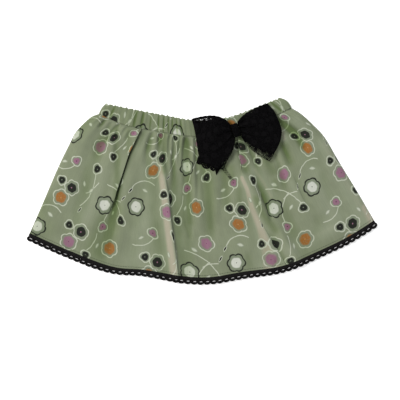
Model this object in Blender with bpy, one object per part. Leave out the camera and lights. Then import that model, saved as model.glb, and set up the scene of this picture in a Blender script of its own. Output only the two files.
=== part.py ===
"""A small child's gathered skirt, laid flat with its front up.

The skirt is a tube of printed cotton, gathered into an elastic waistband. It has looped black
trim round its hem and a black lace bow on the front of the waistband. It lies on its back panel.

The tables and sizes below are in millimetres, with X to the right, Y towards the waist and Z up
from the surface. In cloth terms, "across" is a share of the way from the left side seam to the
right one, and "down" is a share of the way from the waistband's seam to the hem.
"""

import math
from collections import namedtuple

import bmesh
import bpy
import numpy as np

METRES = 0.001

# Driving sizes, in millimetres.
GAP = 0.3  # between pieces that are sewn to each other or lie on each other
BACK_WALL = 1.0  # the back panel, pressed flat
FRONT_WALL = 1.5  # the front panel, measured square to the cloth
BAND_WALL = 2.2  # the waistband: doubled cloth with an elastic in it
TRIM_WALL = 1.2
RIBBON_WALL = 1.0
TRIM_OVERLAP = 3.3  # how far the trim's straight edge lies on the cloth
TRIM_REACH = 4.3  # how far its straight part reaches below the cloth's edge
LOOP_DEPTH = 1.7  # how much further each loop reaches
TRIM_LOOPS = 58  # on each panel, 7 mm apart
GATHERS = 34  # small gathers along each half of the waistband
STEPS_PER_GATHER = 4
RUFFLE_HEIGHT = 0.8  # how far the band's gathers stand out of it
RUFFLE_EDGE = 0.6  # half the depth of the waves in the band's top edge
GATHER_HEIGHT = 1.0  # half the height of the gathers just below the band
MERGED_HEIGHT = 0.55  # half the height of the wider folds that they merge into, two by two
GATHER_UNEVENNESS = 0.22  # how far a gather can lie from its even place, in gathers
SEAM_LEVEL = 2.0  # the gathered edge's height above the back panel
LOFT_AT_WAIST = 3.4
LOFT_AT_HEM = 1.3
REST_SOFTNESS = 0.4  # how softly a deep crease levels out where it meets the back, squared
SIDE_ROUND = 9.0  # how far in from a side seam the front cloth turns down to the back
TUCK_REACH = 3.0  # how far in from its ends the waistband narrows to its side seams
MOST_SLOPE_GAIN = 1.8  # the wall's height on a steep slope, over its height on the flat

# The lines of sewing and the outlines, in plan.
BandRow = namedtuple("BandRow", "top_x top_y seam_x seam_y")
BAND_ROWS = (
    BandRow(-105.6, 96.3, -112.8, 85.6),
    BandRow(-79.0, 90.8, -83.5, 73.4),
    BandRow(-44.0, 84.2, -47.0, 66.4),
    BandRow(-13.0, 78.6, -14.5, 61.4),
    BandRow(9.0, 78.6, 10.0, 61.5),
    BandRow(32.0, 82.2, 36.0, 65.6),
    BandRow(58.0, 91.8, 64.0, 75.8),
    BandRow(85.0, 102.6, 97.6, 92.1),
)
PlanRow = namedtuple("PlanRow", "x y")
HEM_ROWS = (
    PlanRow(-190.3, -47.8),
    PlanRow(-150.0, -65.8),
    PlanRow(-100.0, -84.6),
    PlanRow(-62.0, -88.6),
    PlanRow(-20.0, -95.6),
    PlanRow(10.0, -96.4),
    PlanRow(45.0, -90.6),
    PlanRow(88.0, -84.2),
    PlanRow(125.0, -69.4),
    PlanRow(160.0, -52.6),
    PlanRow(190.3, -33.8),
)
LEFT_SIDE_ROWS = (
    PlanRow(-112.8, 85.6),
    PlanRow(-123.4, 80.8),
    PlanRow(-138.4, 65.8),
    PlanRow(-145.6, 52.3),
    PlanRow(-158.4, 25.9),
    PlanRow(-175.5, -14.0),
    PlanRow(-190.3, -47.8),
)
RIGHT_SIDE_ROWS = (
    PlanRow(97.6, 92.1),
    PlanRow(109.0, 85.4),
    PlanRow(123.2, 72.3),
    PlanRow(135.3, 58.9),
    PlanRow(150.7, 32.5),
    PlanRow(171.5, -1.5),
    PlanRow(190.3, -33.8),
)

# The folds that show. at_seam and at_hem are shares across, start and finish are shares down,
# height is up from the cloth round it (a crease is negative), and reach is half its width.
Fold = namedtuple("Fold", "at_seam at_hem start finish height reach")
FOLDS = (
    Fold(0.050, 0.060, 0.02, 0.95, 1.2, 11.0),
    Fold(0.105, 0.130, 0.00, 0.36, -2.2, 5.0),
    Fold(0.160, 0.165, 0.00, 0.90, 1.8, 9.0),
    Fold(0.210, 0.200, 0.00, 0.80, -4.6, 4.6),
    Fold(0.245, 0.250, 0.00, 0.95, 1.8, 8.0),
    Fold(0.300, 0.285, 0.00, 0.25, -2.2, 4.5),
    Fold(0.345, 0.425, 0.10, 1.20, 3.0, 6.0),
    Fold(0.378, 0.455, 0.10, 1.20, -1.6, 5.5),
    Fold(0.457, 0.462, 0.02, 0.72, -2.6, 5.0),
    Fold(0.520, 0.515, 0.02, 0.80, 1.6, 10.0),
    Fold(0.593, 0.589, 0.08, 0.62, -2.0, 5.5),
    Fold(0.640, 0.630, 0.00, 0.28, -2.0, 4.5),
    Fold(0.620, 0.760, 0.25, 1.20, 3.2, 7.0),
    Fold(0.725, 0.792, 0.10, 1.00, -2.4, 6.0),
    Fold(0.815, 0.825, 0.05, 0.85, 1.4, 11.0),
    Fold(0.860, 0.875, 0.00, 0.42, -2.4, 6.5),
    Fold(0.855, 0.900, 0.35, 1.00, 1.4, 12.0),
    Fold(0.940, 0.950, 0.00, 0.26, -2.6, 5.0),
)
FOLD_FADE = 0.12  # the share down over which a fold rises or dies away

# The rows of the front panel's mesh, as shares down. The fine ones have a column at each step of
# a gather, and the others at every second one.
FINE_ROWS = (0.0025, 0.02, 0.045, 0.08, 0.13)
PLAIN_ROWS = (0.19, 0.27, 0.36, 0.46, 0.57, 0.68, 0.79, 0.90, 1.0)
BAND_ROWS_DOWN = (0.0, 0.2, 0.8, 1.0)  # from the waistband's top edge to its seam

# The bow. Its knot is listed along its middle, and side is -1 for the left loop and 1 for the
# right one. Each loop fans out from the knot to its outer edge, which is listed from the loop's
# upper corner to its lower one. top_bulge and bottom_bulge are how far its edges bow outwards,
# and peek is how far its lower layer shows past the upper one at its lower corner.
KNOT_TOP = PlanRow(34.5, 73.8)
KNOT_BOTTOM = PlanRow(39.4, 59.8)
KNOT_HALF_WIDTH = 4.3
KNOT_OVER_LOOPS = 1.2  # how far the knot stands above the loops' ends
KNOT_SQUARENESS = 0.6  # 1 makes its section an oval, and 0 a rectangle
KNOT_SIDES = 16
KNOT_RINGS = 8
LOOP_END = 0.04  # how far in from the knot's ends the loops leave it, as a share of its length
LoopShape = namedtuple("LoopShape", "side outer top_bulge bottom_bulge peek")
LEFT_LOOP = LoopShape(
    side=-1,
    outer=(
        PlanRow(-11.2, 79.4),
        PlanRow(-7.8, 66.0),
        PlanRow(-5.6, 53.0),
        PlanRow(-3.6, 40.4),
        PlanRow(-0.6, 33.0),
        PlanRow(7.4, 30.2),
        PlanRow(14.4, 27.6),
        PlanRow(21.4, 28.2),
    ),
    top_bulge=7.6,
    bottom_bulge=4.0,
    peek=PlanRow(-0.4, -3.4),
)
RIGHT_LOOP = LoopShape(
    side=1,
    outer=(
        PlanRow(71.0, 96.4),
        PlanRow(78.6, 87.4),
        PlanRow(83.6, 76.6),
        PlanRow(86.8, 65.4),
        PlanRow(84.8, 53.6),
        PlanRow(77.8, 40.2),
    ),
    top_bulge=3.8,
    bottom_bulge=4.4,
    peek=PlanRow(-4.0, -7.4),
)
LOOP_STEPS_ACROSS = 12
LOOP_STEPS_OUT = 7
LOOP_TURN_STEPS = 2  # inside the fold at the loop's outer edge
LOOP_PUFF = 3.2  # the hollow inside a loop at its fullest
PINCH_HEIGHT = 1.1  # half the height of the folds that run out from the knot
PINCH_FOLDS = 3
PEEK_START = 0.5  # the share across from which the lower layer shows past the upper one

# Colours, as linear RGB.
COTTON_GREEN = (0.21, 0.27, 0.16)
TRIM_BLACK = (0.011, 0.010, 0.012)
LACE_BLACK = (0.006, 0.006, 0.007)


def clear_scene():
    """Removes what the startup scene holds."""
    for obj in list(bpy.data.objects):
        bpy.data.objects.remove(obj, do_unlink=True)


def smooth(low, high, value):
    """0 up to low, 1 from high on, and a smooth rise between them."""
    t = min(1.0, max(0.0, (value - low) / (high - low)))
    return t * t * (3 - 2 * t)


def spline_point(rows, t):
    """The point a share t of the way along a smooth curve through the rows."""
    place = t * (len(rows) - 1)
    i = min(int(place), len(rows) - 2)
    f = place - i
    p = [np.array(rows[max(0, min(len(rows) - 1, i + k))], float) for k in (-1, 0, 1, 2)]
    if i == 0:
        p[0] = 2 * p[1] - p[2]
    if i == len(rows) - 2:
        p[3] = 2 * p[2] - p[1]
    straight = (p[2] - p[0]) * f
    bend = (2 * p[0] - 5 * p[1] + 4 * p[2] - p[3]) * f * f
    twist = (3 * p[1] - p[0] - 3 * p[2] + p[3]) * f**3
    return p[1] + 0.5 * (straight + bend + twist)


class Outline:
    """A smooth plan curve through the rows of a table, read by its share of length."""

    SAMPLES = 400

    def __init__(self, rows):
        shares = np.linspace(0, 1, self.SAMPLES)
        self.points = np.array([spline_point(rows, t) for t in shares])
        steps = np.linalg.norm(np.diff(self.points, axis=0), axis=1)
        self.along = np.concatenate([[0], np.cumsum(steps)])
        self.length = self.along[-1]

    def at(self, share):
        """The point at a share of the curve's length."""
        d = share * self.length
        return np.array([np.interp(d, self.along, self.points[:, k]) for k in (0, 1)])

    def out(self, share):
        """The unit direction square to the curve, on its right as it is walked."""
        step = 0.004
        ahead = self.at(min(1.0, share + step)) - self.at(max(0.0, share - step))
        return np.array([ahead[1], -ahead[0]]) / np.linalg.norm(ahead)


BAND_TOP = Outline([(r.top_x, r.top_y) for r in BAND_ROWS])
SEAM = Outline([(r.seam_x, r.seam_y) for r in BAND_ROWS])
HEM = Outline(HEM_ROWS)
LEFT_SIDE = Outline(LEFT_SIDE_ROWS)
RIGHT_SIDE = Outline(RIGHT_SIDE_ROWS)


def cloth_plan(across, down):
    """Where a point of the panels' cloth lies in plan, between the seam, the hem and the sides."""
    seam, hem = SEAM.at(across), HEM.at(across)
    left, right = LEFT_SIDE.at(down), RIGHT_SIDE.at(down)
    upper = (1 - across) * SEAM.at(0) + across * SEAM.at(1)
    lower = (1 - across) * HEM.at(0) + across * HEM.at(1)
    return (
        (1 - down) * (seam - upper)
        + down * (hem - lower)
        + (1 - across) * left
        + across * right
    )


def panel_width(down):
    """The panels' width at a share down."""
    return float(np.linalg.norm(RIGHT_SIDE.at(down) - LEFT_SIDE.at(down)))


def across_of_phase(phase):
    """The share across of a place counted in gathers from the left, which lie unevenly."""
    window = math.sin(math.pi * phase / GATHERS)
    uneven = math.sin(phase * 1.19) + 0.7 * math.sin(phase * 2.03 + 1.0)
    return (phase + GATHER_UNEVENNESS * uneven * window) / GATHERS


def gather_wave(phase):
    """The gathers' wave, from -1 to 1, with some of them smaller than others."""
    return math.cos(2 * math.pi * phase) * (0.74 + 0.26 * math.sin(phase * 1.7 + 0.6))


def fold_height(fold, across, down):
    """How far one fold raises the cloth at a place."""
    centre = fold.at_seam + (fold.at_hem - fold.at_seam) * down
    away = (across - centre) * panel_width(down) / fold.reach
    rise = smooth(fold.start - 0.02, fold.start + FOLD_FADE, down)
    fade = 1 - smooth(fold.finish - FOLD_FADE, fold.finish + 0.02, down)
    return fold.height * rise * fade * math.exp(-away * away)


def relief(phase, down):
    """How far the front cloth's inner face lies above where it would touch the back panel."""
    across = across_of_phase(phase)
    loft = LOFT_AT_HEM + (LOFT_AT_WAIST - LOFT_AT_HEM) * (1 - down) ** 2
    folds = sum(fold_height(fold, across, down) for fold in FOLDS)
    gathers = GATHER_HEIGHT * gather_wave(phase) * (1 - smooth(0.05, 0.17, down))
    merged = math.cos(math.pi * phase + 0.8) * smooth(0.05, 0.14, down)
    merged *= MERGED_HEIGHT * (1 - smooth(0.20, 0.48, down))
    height = loft + folds + gathers + merged
    height = (height + math.sqrt(height * height + REST_SOFTNESS)) / 2
    sewn = SEAM_LEVEL + 0.5 * RUFFLE_HEIGHT * gather_wave(phase)
    height = sewn + (height - sewn) * smooth(0.0, 0.045, down)
    inwards = min(across, 1 - across) * panel_width(down)
    return height * math.sin(math.pi / 2 * min(1.0, inwards / SIDE_ROUND))


def front_inner(phase, down):
    """A point of the front panel's inner face."""
    x, y = cloth_plan(across_of_phase(phase), down)
    return np.array([x, y, BACK_WALL + GAP + relief(phase, down)])


def front_outer(phase, down):
    """The point of its outer face above it, so that the wall keeps its thickness on slopes."""
    inner = front_inner(phase, down)
    step = 1 / STEPS_PER_GATHER
    left = front_inner(max(0.0, phase - step), down)
    right = front_inner(min(float(GATHERS), phase + step), down)
    slope = (right[2] - left[2]) / np.linalg.norm(right[:2] - left[:2])
    gain = min(MOST_SLOPE_GAIN, math.sqrt(1 + slope * slope))
    return inner + np.array([0.0, 0.0, FRONT_WALL * gain])


def add_object(name, mesh_builder, material):
    """A named object at the origin from a bmesh in millimetres, with its faces turned outwards."""
    bmesh.ops.recalc_face_normals(mesh_builder, faces=mesh_builder.faces)
    bmesh.ops.scale(mesh_builder, vec=(METRES,) * 3, verts=mesh_builder.verts)
    mesh = bpy.data.meshes.new(name)
    mesh_builder.to_mesh(mesh)
    mesh_builder.free()
    mesh.shade_smooth()
    mesh.set_sharp_from_angle(angle=math.radians(50))
    mesh.materials.append(material)
    obj = bpy.data.objects.new(name, mesh)
    bpy.context.scene.collection.objects.link(obj)


def join_rows(builder, upper, lower):
    """Faces between two rows of vertices. The lower row has as many steps, or half as many."""
    if len(upper) == len(lower):
        for a, b, c, d in zip(upper, lower, lower[1:], upper[1:]):
            builder.faces.new((a, b, c, d))
        return
    for i, (b, c) in enumerate(zip(lower, lower[1:])):
        first, middle, last = upper[2 * i : 2 * i + 3]
        builder.faces.new((first, b, middle))
        builder.faces.new((middle, b, c))
        builder.faces.new((middle, c, last))


def wall(name, outer, inner, material):
    """A closed wall between two grids of points that have the same rows."""
    builder = bmesh.new()
    skins = [[[builder.verts.new(p) for p in row] for row in grid] for grid in (outer, inner)]
    for skin in skins:
        for upper, lower in zip(skin, skin[1:]):
            join_rows(builder, upper, lower)
    top, bottom = skins
    rims = (
        (top[0], bottom[0]),
        (top[-1], bottom[-1]),
        ([row[0] for row in top], [row[0] for row in bottom]),
        ([row[-1] for row in top], [row[-1] for row in bottom]),
    )
    for one, other in rims:
        join_rows(builder, one, other)
    add_object(name, builder, material)


def slab(name, outline, height, material):
    """A flat piece of the given plan outline, lying on the surface."""
    builder = bmesh.new()
    rings = [[builder.verts.new((x, y, z)) for x, y in outline] for z in (0.0, height)]
    for ring in rings:
        builder.faces.new(ring)
    join_rows(builder, rings[0] + rings[0][:1], rings[1] + rings[1][:1])
    add_object(name, builder, material)


def cloth_material(name, colour, roughness, sheen):
    """A plain cloth finish."""
    material = bpy.data.materials.new(name)
    material.use_nodes = True
    shader = material.node_tree.nodes["Principled BSDF"]
    shader.inputs["Base Color"].default_value = (*colour, 1.0)
    shader.inputs["Roughness"].default_value = roughness
    shader.inputs["Metallic"].default_value = 0.0
    shader.inputs["Sheen Weight"].default_value = sheen
    material.diffuse_color = (*colour, 1.0)
    return material


def gather_phases(step_share=1):
    """The columns of a gathered piece, counted in gathers from the left."""
    steps = GATHERS * STEPS_PER_GATHER // step_share
    return [GATHERS * i / steps for i in range(steps + 1)]


def make_front_panel(material):
    """The front panel: gathered at the waistband, with its folds running to the hem.

    Returns:
        The rows of its outer face, which the trim and the bow lie on.
    """
    rows = [(down, gather_phases()) for down in FINE_ROWS]
    rows += [(down, gather_phases(2)) for down in PLAIN_ROWS]
    outer = [[front_outer(phase, down) for phase in phases] for down, phases in rows]
    inner = [[front_inner(phase, down) for phase in phases] for down, phases in rows]
    wall("front_panel", outer, inner, material)
    return outer


def make_back_panel(material):
    """The back panel, flat under the front one, with the same outline."""
    top = FINE_ROWS[0]
    seam = [cloth_plan(across_of_phase(p), top) for p in gather_phases(4)]
    right = [cloth_plan(1.0, down) for down in FINE_ROWS[1:] + PLAIN_ROWS[:-1]]
    hem = [cloth_plan(across_of_phase(p), 1.0) for p in reversed(gather_phases(2))]
    left = [cloth_plan(0.0, down) for down in reversed(FINE_ROWS[1:] + PLAIN_ROWS[:-1])]
    slab("back_panel", seam + right + hem + left, BACK_WALL, material)


def band_plan(phase, down):
    """Where a point of the waistband lies in plan. Its top edge is ruffled by the gathers."""
    across = across_of_phase(phase)
    top, seam = BAND_TOP.at(across), SEAM.at(across)
    ruffle = RUFFLE_EDGE * gather_wave(phase) * (1 - down) ** 2
    return top + (seam - top) * down - BAND_TOP.out(across) * ruffle


def band_fullness(down):
    """The waistband's thickness over its full one: it thins to its fold and to its seam."""
    return 0.55 + 0.45 * math.sin(math.pi * (0.08 + 0.84 * down))


def band_tuck(phase):
    """0 at the waistband's ends, where it narrows to the side seams, and 1 further in."""
    across = across_of_phase(phase)
    return smooth(0, 1, min(across, 1 - across) * SEAM.length / TUCK_REACH)


def band_level(down, phase, turn):
    """The height of a half of the waistband over its plain face."""
    ruffle = RUFFLE_HEIGHT * (0.5 + 0.5 * gather_wave(phase + turn))
    return (BAND_WALL + ruffle) * band_fullness(down)


def make_waistband(material):
    """The waistband's front and back halves, which lie on each other.

    Returns:
        The rows of the front half's outer face, which the bow lies on.
    """
    meeting = BAND_WALL + RUFFLE_HEIGHT
    back_outer, back_inner, front_outer_rows, front_inner_rows = [], [], [], []
    for down in BAND_ROWS_DOWN:
        plan = [(p, *band_plan(p, down)) for p in gather_phases()]
        back_inner.append([(x, y, 0.0) for _, x, y in plan])
        front_inner_rows.append([(x, y, meeting + GAP) for _, x, y in plan])
        back_row, front_row = [], []
        for p, x, y in plan:
            tuck = band_tuck(p)
            back_row.append((x, y, meeting + (band_level(down, p, 0.5) - meeting) * tuck))
            level = band_level(down, p, 0.0) * (0.55 + 0.45 * tuck)
            front_row.append((x, y, meeting + GAP + level))
        back_outer.append(back_row)
        front_outer_rows.append(front_row)
    wall("waistband_back", back_outer, back_inner, material)
    wall("waistband_front", front_outer_rows, front_inner_rows, material)
    return front_outer_rows


def trim_columns():
    """The trim's columns as (share across, how far its lower edge reaches past the hem).

    Each loop's lower edge is a round arc of four steps.
    """
    steps = 4
    columns = []
    for i in range(TRIM_LOOPS * steps + 1):
        turn = 2 * (i % steps) / steps - 1
        reach = TRIM_REACH + LOOP_DEPTH * math.sqrt(1 - turn * turn)
        columns.append((i / (TRIM_LOOPS * steps), reach))
    return columns


def make_front_trim(panel_rows, material):
    """The looped trim on the front hem: its straight edge lies on the cloth's outer face."""
    above, hem = np.array(panel_rows[-2]), np.array(panel_rows[-1])
    up_the_cloth = above - hem
    sewn = hem + up_the_cloth * TRIM_OVERLAP / np.linalg.norm(up_the_cloth, axis=1)[:, None]
    hem_across = [across_of_phase(p) for p in gather_phases(2)]
    upper, lower = [], []
    for across, reach in trim_columns():
        on_cloth, at_edge = (
            np.array([np.interp(across, hem_across, points[:, k]) for k in range(3)])
            for points in (sewn, hem)
        )
        level = max(on_cloth[2], at_edge[2]) + GAP
        upper.append(np.array([on_cloth[0], on_cloth[1], level]))
        lower.append(np.array([*(HEM.at(across) + HEM.out(across) * reach), level]))
    lift = np.array([0.0, 0.0, TRIM_WALL])
    outer = [[p + lift for p in row] for row in (upper, lower)]
    wall("hem_trim_front", outer, [upper, lower], material)


def make_back_trim(material):
    """The trim on the back hem: it is flat on the surface and meets the back panel's edge."""
    lower = [HEM.at(across) + HEM.out(across) * reach for across, reach in trim_columns()]
    hem_across = [across_of_phase(p) for p in gather_phases(2)]
    upper = [HEM.at(across) + HEM.out(across) * GAP for across in hem_across]
    slab("hem_trim_back", upper + lower[::-1], TRIM_WALL, material)


def highest_point(surfaces, is_under):
    """The highest point of some surfaces, on their rows or between them, where is_under holds.

    Args:
        surfaces: grids of points, each a list of rows.
        is_under: takes an array of plan points and says which of them count.
    """
    heights = []
    for rows in surfaces:
        for upper, lower in zip(rows, rows[1:]):
            step = (len(upper) - 1) // (len(lower) - 1)
            upper, lower = np.array(upper[::step]), np.array(lower)
            for share in np.linspace(0, 1, 6):
                between = upper + (lower - upper) * share
                heights.extend(between[is_under(between[:, :2]), 2])
    return max(heights)


def knot_axes():
    """The knot's top end, the way to its bottom end and the unit direction across it, in plan."""
    top = np.array(KNOT_TOP)
    axis = np.array(KNOT_BOTTOM) - top
    return top, axis, np.array([-axis[1], axis[0]]) / np.linalg.norm(axis)


def is_under_knot(points):
    """Which plan points lie under the knot, or so near that it could touch the cloth there."""
    top, axis, square = knot_axes()
    along = (points - top) @ axis / (axis @ axis)
    aside = np.abs((points - top) @ square)
    return (along > -0.03) & (along < 1.03) & (aside < KNOT_HALF_WIDTH + GAP)


def is_under_loops(points):
    """Which plan points lie in the plan box of the bow's loops."""
    corners = np.array(LEFT_LOOP.outer + RIGHT_LOOP.outer)
    low, high = corners.min(axis=0), corners.max(axis=0)
    return np.all((points > low) & (points < high), axis=1)


def knot_side(share, side, apart=0.0):
    """A point along one side of the knot in plan, a share down it and so far apart from it."""
    top, axis, square = knot_axes()
    half = KNOT_HALF_WIDTH * knot_fullness(2 * share - 1)
    return top + axis * share + square * side * (half + apart)


def knot_fullness(along):
    """The knot's width over its full one, from -1 at its top end to 1 at its bottom end."""
    return 0.76 + 0.24 * math.sqrt(1 - 0.96 * along * along)


def loop_plan(shape, outer_edge, out, across, peek):
    """A point of a bow loop in plan, a share out from the knot and a share across the ribbon."""
    start = knot_side(LOOP_END + (1 - 2 * LOOP_END) * across, shape.side, GAP)
    end = outer_edge.at(across) + np.array(shape.peek) * peek * smooth(PEEK_START, 1, across)
    along = (end - start) / np.linalg.norm(end - start)
    square = np.array([-along[1], along[0]]) * shape.side
    bulge = shape.top_bulge * (1 - across) ** 2 - shape.bottom_bulge * across**2
    return start + (end - start) * out + square * bulge * math.sin(math.pi * out**0.85)


def loop_heights(out, across):
    """The heights of a loop's lower and upper layers' middles over what the loop lies on."""
    pinch = PINCH_HEIGHT * (1 - out) ** 2 * math.cos(2 * math.pi * PINCH_FOLDS * across)
    full = LOOP_PUFF * math.sin(math.pi * min(1.0, out * 0.86)) ** 0.7 + 0.4
    edge = 0.55 + 0.45 * math.sin(math.pi * (0.06 + 0.88 * across))
    lower = PINCH_HEIGHT + RIBBON_WALL / 2 + pinch
    return lower, lower + RIBBON_WALL + full * edge


def make_loop(name, shape, seat, material):
    """One loop of the bow: a strip of ribbon that goes out from the knot and comes back below."""
    outer_edge = Outline(shape.outer)
    shares = [i / LOOP_STEPS_OUT for i in range(LOOP_STEPS_OUT + 1)]
    half = RIBBON_WALL / 2
    skins = ([], [])
    for step in range(LOOP_STEPS_ACROSS + 1):
        across = step / LOOP_STEPS_ACROSS
        tip = loop_plan(shape, outer_edge, 1.0, across, 0.5)
        back = loop_plan(shape, outer_edge, 0.9, across, 0.5)
        ahead = (tip - back) / np.linalg.norm(tip - back)
        rows = ([], [])
        for out in shares:
            _, height = loop_heights(out, across)
            plan = loop_plan(shape, outer_edge, out, across, 0.0)
            for row, side in zip(rows, (1, -1)):
                row.append((*plan, seat + height + side * half))
        low, high = loop_heights(1.0, across)
        for turn_step in range(1, LOOP_TURN_STEPS + 1):
            turn = math.pi * turn_step / (LOOP_TURN_STEPS + 1)
            peek = turn_step / (LOOP_TURN_STEPS + 1)
            plan = loop_plan(shape, outer_edge, 1.0, across, peek)
            for row, side in zip(rows, (1, -1)):
                radius = (high - low) / 2 + side * half
                centre = plan + ahead * math.sin(turn) * radius
                row.append((*centre, seat + (high + low) / 2 + math.cos(turn) * radius))
        for out in reversed(shares):
            height, _ = loop_heights(out, across)
            plan = loop_plan(shape, outer_edge, out, across, 1.0)
            for row, side in zip(rows, (-1, 1)):
                row.append((*plan, seat + height + side * half))
        for skin, row in zip(skins, rows):
            skin.append(row)
    wall(name, *skins, material)


def make_knot(bottom, top, material):
    """The band of ribbon round the bow's middle, between two heights."""
    builder = bmesh.new()
    rings = []
    for ring in range(KNOT_RINGS + 1):
        share = ring / KNOT_RINGS
        left, right = knot_side(share, -1), knot_side(share, 1)
        height = (top - bottom) * knot_fullness(2 * share - 1)
        loop = []
        for i in range(KNOT_SIDES):
            turn = 2 * math.pi * i / KNOT_SIDES
            sideways = math.copysign(abs(math.cos(turn)) ** KNOT_SQUARENESS, math.cos(turn))
            upwards = math.copysign(abs(math.sin(turn)) ** KNOT_SQUARENESS, math.sin(turn))
            x, y = (left + right) / 2 + (right - left) / 2 * sideways
            z = bottom + height * (1 + upwards) / 2
            loop.append(builder.verts.new((x, y, z)))
        rings.append(loop)
    for one, other in zip(rings, rings[1:]):
        join_rows(builder, one + one[:1], other + other[:1])
    builder.faces.new(rings[0])
    builder.faces.new(rings[-1])
    add_object("bow_knot", builder, material)


def make_bow(surfaces, material):
    """The bow, which lies on the waistband and the gathered cloth under it."""
    seat = highest_point(surfaces, is_under_loops) + GAP
    make_loop("bow_loop_left", LEFT_LOOP, seat, material)
    make_loop("bow_loop_right", RIGHT_LOOP, seat, material)
    ends = [loop_heights(0.0, i / LOOP_STEPS_ACROSS)[1] for i in range(LOOP_STEPS_ACROSS + 1)]
    top = seat + max(ends) + RIBBON_WALL / 2 + KNOT_OVER_LOOPS
    make_knot(highest_point(surfaces, is_under_knot) + GAP, top, material)


def place_on_surface():
    """Carries every piece on one empty, which sets the skirt's middle over the origin."""
    pieces = list(bpy.context.scene.collection.objects)
    points = np.array([v.co for piece in pieces for v in piece.data.vertices])
    middle = (points.min(axis=0) + points.max(axis=0)) / 2
    skirt = bpy.data.objects.new("skirt", None)
    skirt.location = (-middle[0], -middle[1], 0.0)
    bpy.context.scene.collection.objects.link(skirt)
    for piece in pieces:
        piece.parent = skirt


def main():
    """Builds the skirt."""
    clear_scene()
    cotton = cloth_material("printed_cotton", COTTON_GREEN, 0.85, 0.1)
    trim = cloth_material("black_trim", TRIM_BLACK, 0.8, 0.1)
    lace = cloth_material("black_lace", LACE_BLACK, 0.7, 0.1)
    panel_rows = make_front_panel(cotton)
    make_back_panel(cotton)
    band_rows = make_waistband(cotton)
    make_front_trim(panel_rows, trim)
    make_back_trim(trim)
    make_bow((panel_rows, band_rows), lace)
    place_on_surface()


main()
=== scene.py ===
"""The looks of a small child's gathered skirt, laid flat with its front up.

Printed cotton hangs in soft folds from an elastic waistband, with looped black trim round the hem
and a black lace bow. Tables are in millimetres, X to the right, Y towards the waist and Z up, as in
the part's source. "Across" is a share of the way from the left side seam to the right one, and
"down" is a share of the way from the waistband's seam to the hem.
"""

import logging
import math
from dataclasses import dataclass, field
from enum import Enum
from typing import NamedTuple, Sequence

import bpy
import numpy as np
from mathutils.kdtree import KDTree
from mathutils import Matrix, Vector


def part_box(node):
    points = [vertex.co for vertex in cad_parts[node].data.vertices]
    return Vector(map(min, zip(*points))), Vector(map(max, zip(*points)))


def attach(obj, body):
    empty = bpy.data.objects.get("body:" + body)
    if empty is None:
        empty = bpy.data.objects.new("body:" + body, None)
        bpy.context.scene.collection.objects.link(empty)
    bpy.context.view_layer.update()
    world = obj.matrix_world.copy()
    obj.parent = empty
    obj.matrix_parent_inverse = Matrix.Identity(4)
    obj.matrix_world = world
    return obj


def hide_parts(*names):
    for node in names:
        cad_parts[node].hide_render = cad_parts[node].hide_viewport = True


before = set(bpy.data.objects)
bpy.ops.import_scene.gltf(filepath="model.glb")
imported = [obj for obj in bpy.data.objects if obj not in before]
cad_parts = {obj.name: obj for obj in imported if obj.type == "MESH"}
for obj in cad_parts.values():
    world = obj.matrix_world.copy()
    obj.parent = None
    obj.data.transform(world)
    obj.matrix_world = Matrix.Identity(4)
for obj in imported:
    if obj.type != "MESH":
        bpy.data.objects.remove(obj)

log = logging.getLogger("skirt")
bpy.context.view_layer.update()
MM = 0.001
BODY = "root"

Rgb = tuple[float, float, float]
Line = tuple[tuple[float, float], ...]
Grid = np.ndarray
Material, Object = bpy.types.Material, bpy.types.Object
Node, Socket, Tree = bpy.types.Node, bpy.types.NodeSocket, bpy.types.NodeTree


class Slot(Enum):
    """The record's material slots."""

    COTTON = "printed_cotton"
    TRIM = "hem_trim"
    LACE = "bow_lace"


class Side(Enum):
    """The two halves of the waistband and of the trim."""

    FRONT = "front"
    BACK = "back"


# --- The skirt's lines and levels, the same as in the part's source ---

GAP = 0.3
BACK_WALL, FRONT_WALL, BAND_WALL, RIBBON_WALL = 1.0, 1.5, 2.2, 1.0
TRIM_LOOPS = 58
GATHERS = 34
RUFFLE_HEIGHT, RUFFLE_EDGE = 0.8, 0.6
GATHER_HEIGHT, MERGED_HEIGHT = 1.0, 0.55
GATHER_UNEVENNESS = 0.22
SEAM_LEVEL = 2.0
LOFT_AT_WAIST, LOFT_AT_HEM = 3.4, 1.3
REST_SOFTNESS = 0.4
SIDE_ROUND = 9.0
TUCK_REACH = 3.0
FOLD_FADE = 0.12
PLEAT_FADE = 16.0
PLEAT_RUNS_ON_BELOW, PLEAT_RUNS_ON_ABOVE = -80.0, 60.0  # ends past these levels don't fade out
CUT_WIDTH, CUT_HEIGHT = 415.0, 160.0  # of each panel, laid flat
CURVE_SAMPLES = 2000  # for reading a curve backwards


def smooth(low: float, high: float, value: Grid) -> Grid:
    """0 up to low, 1 from high on, and a smooth rise between them."""
    t = np.clip((np.asarray(value, float) - low) / (high - low), 0.0, 1.0)
    return t * t * (3 - 2 * t)


def unit(ways: Grid) -> Grid:
    """Ways in plan made one millimetre long."""
    return ways / np.linalg.norm(ways, axis=-1, keepdims=True)


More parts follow.
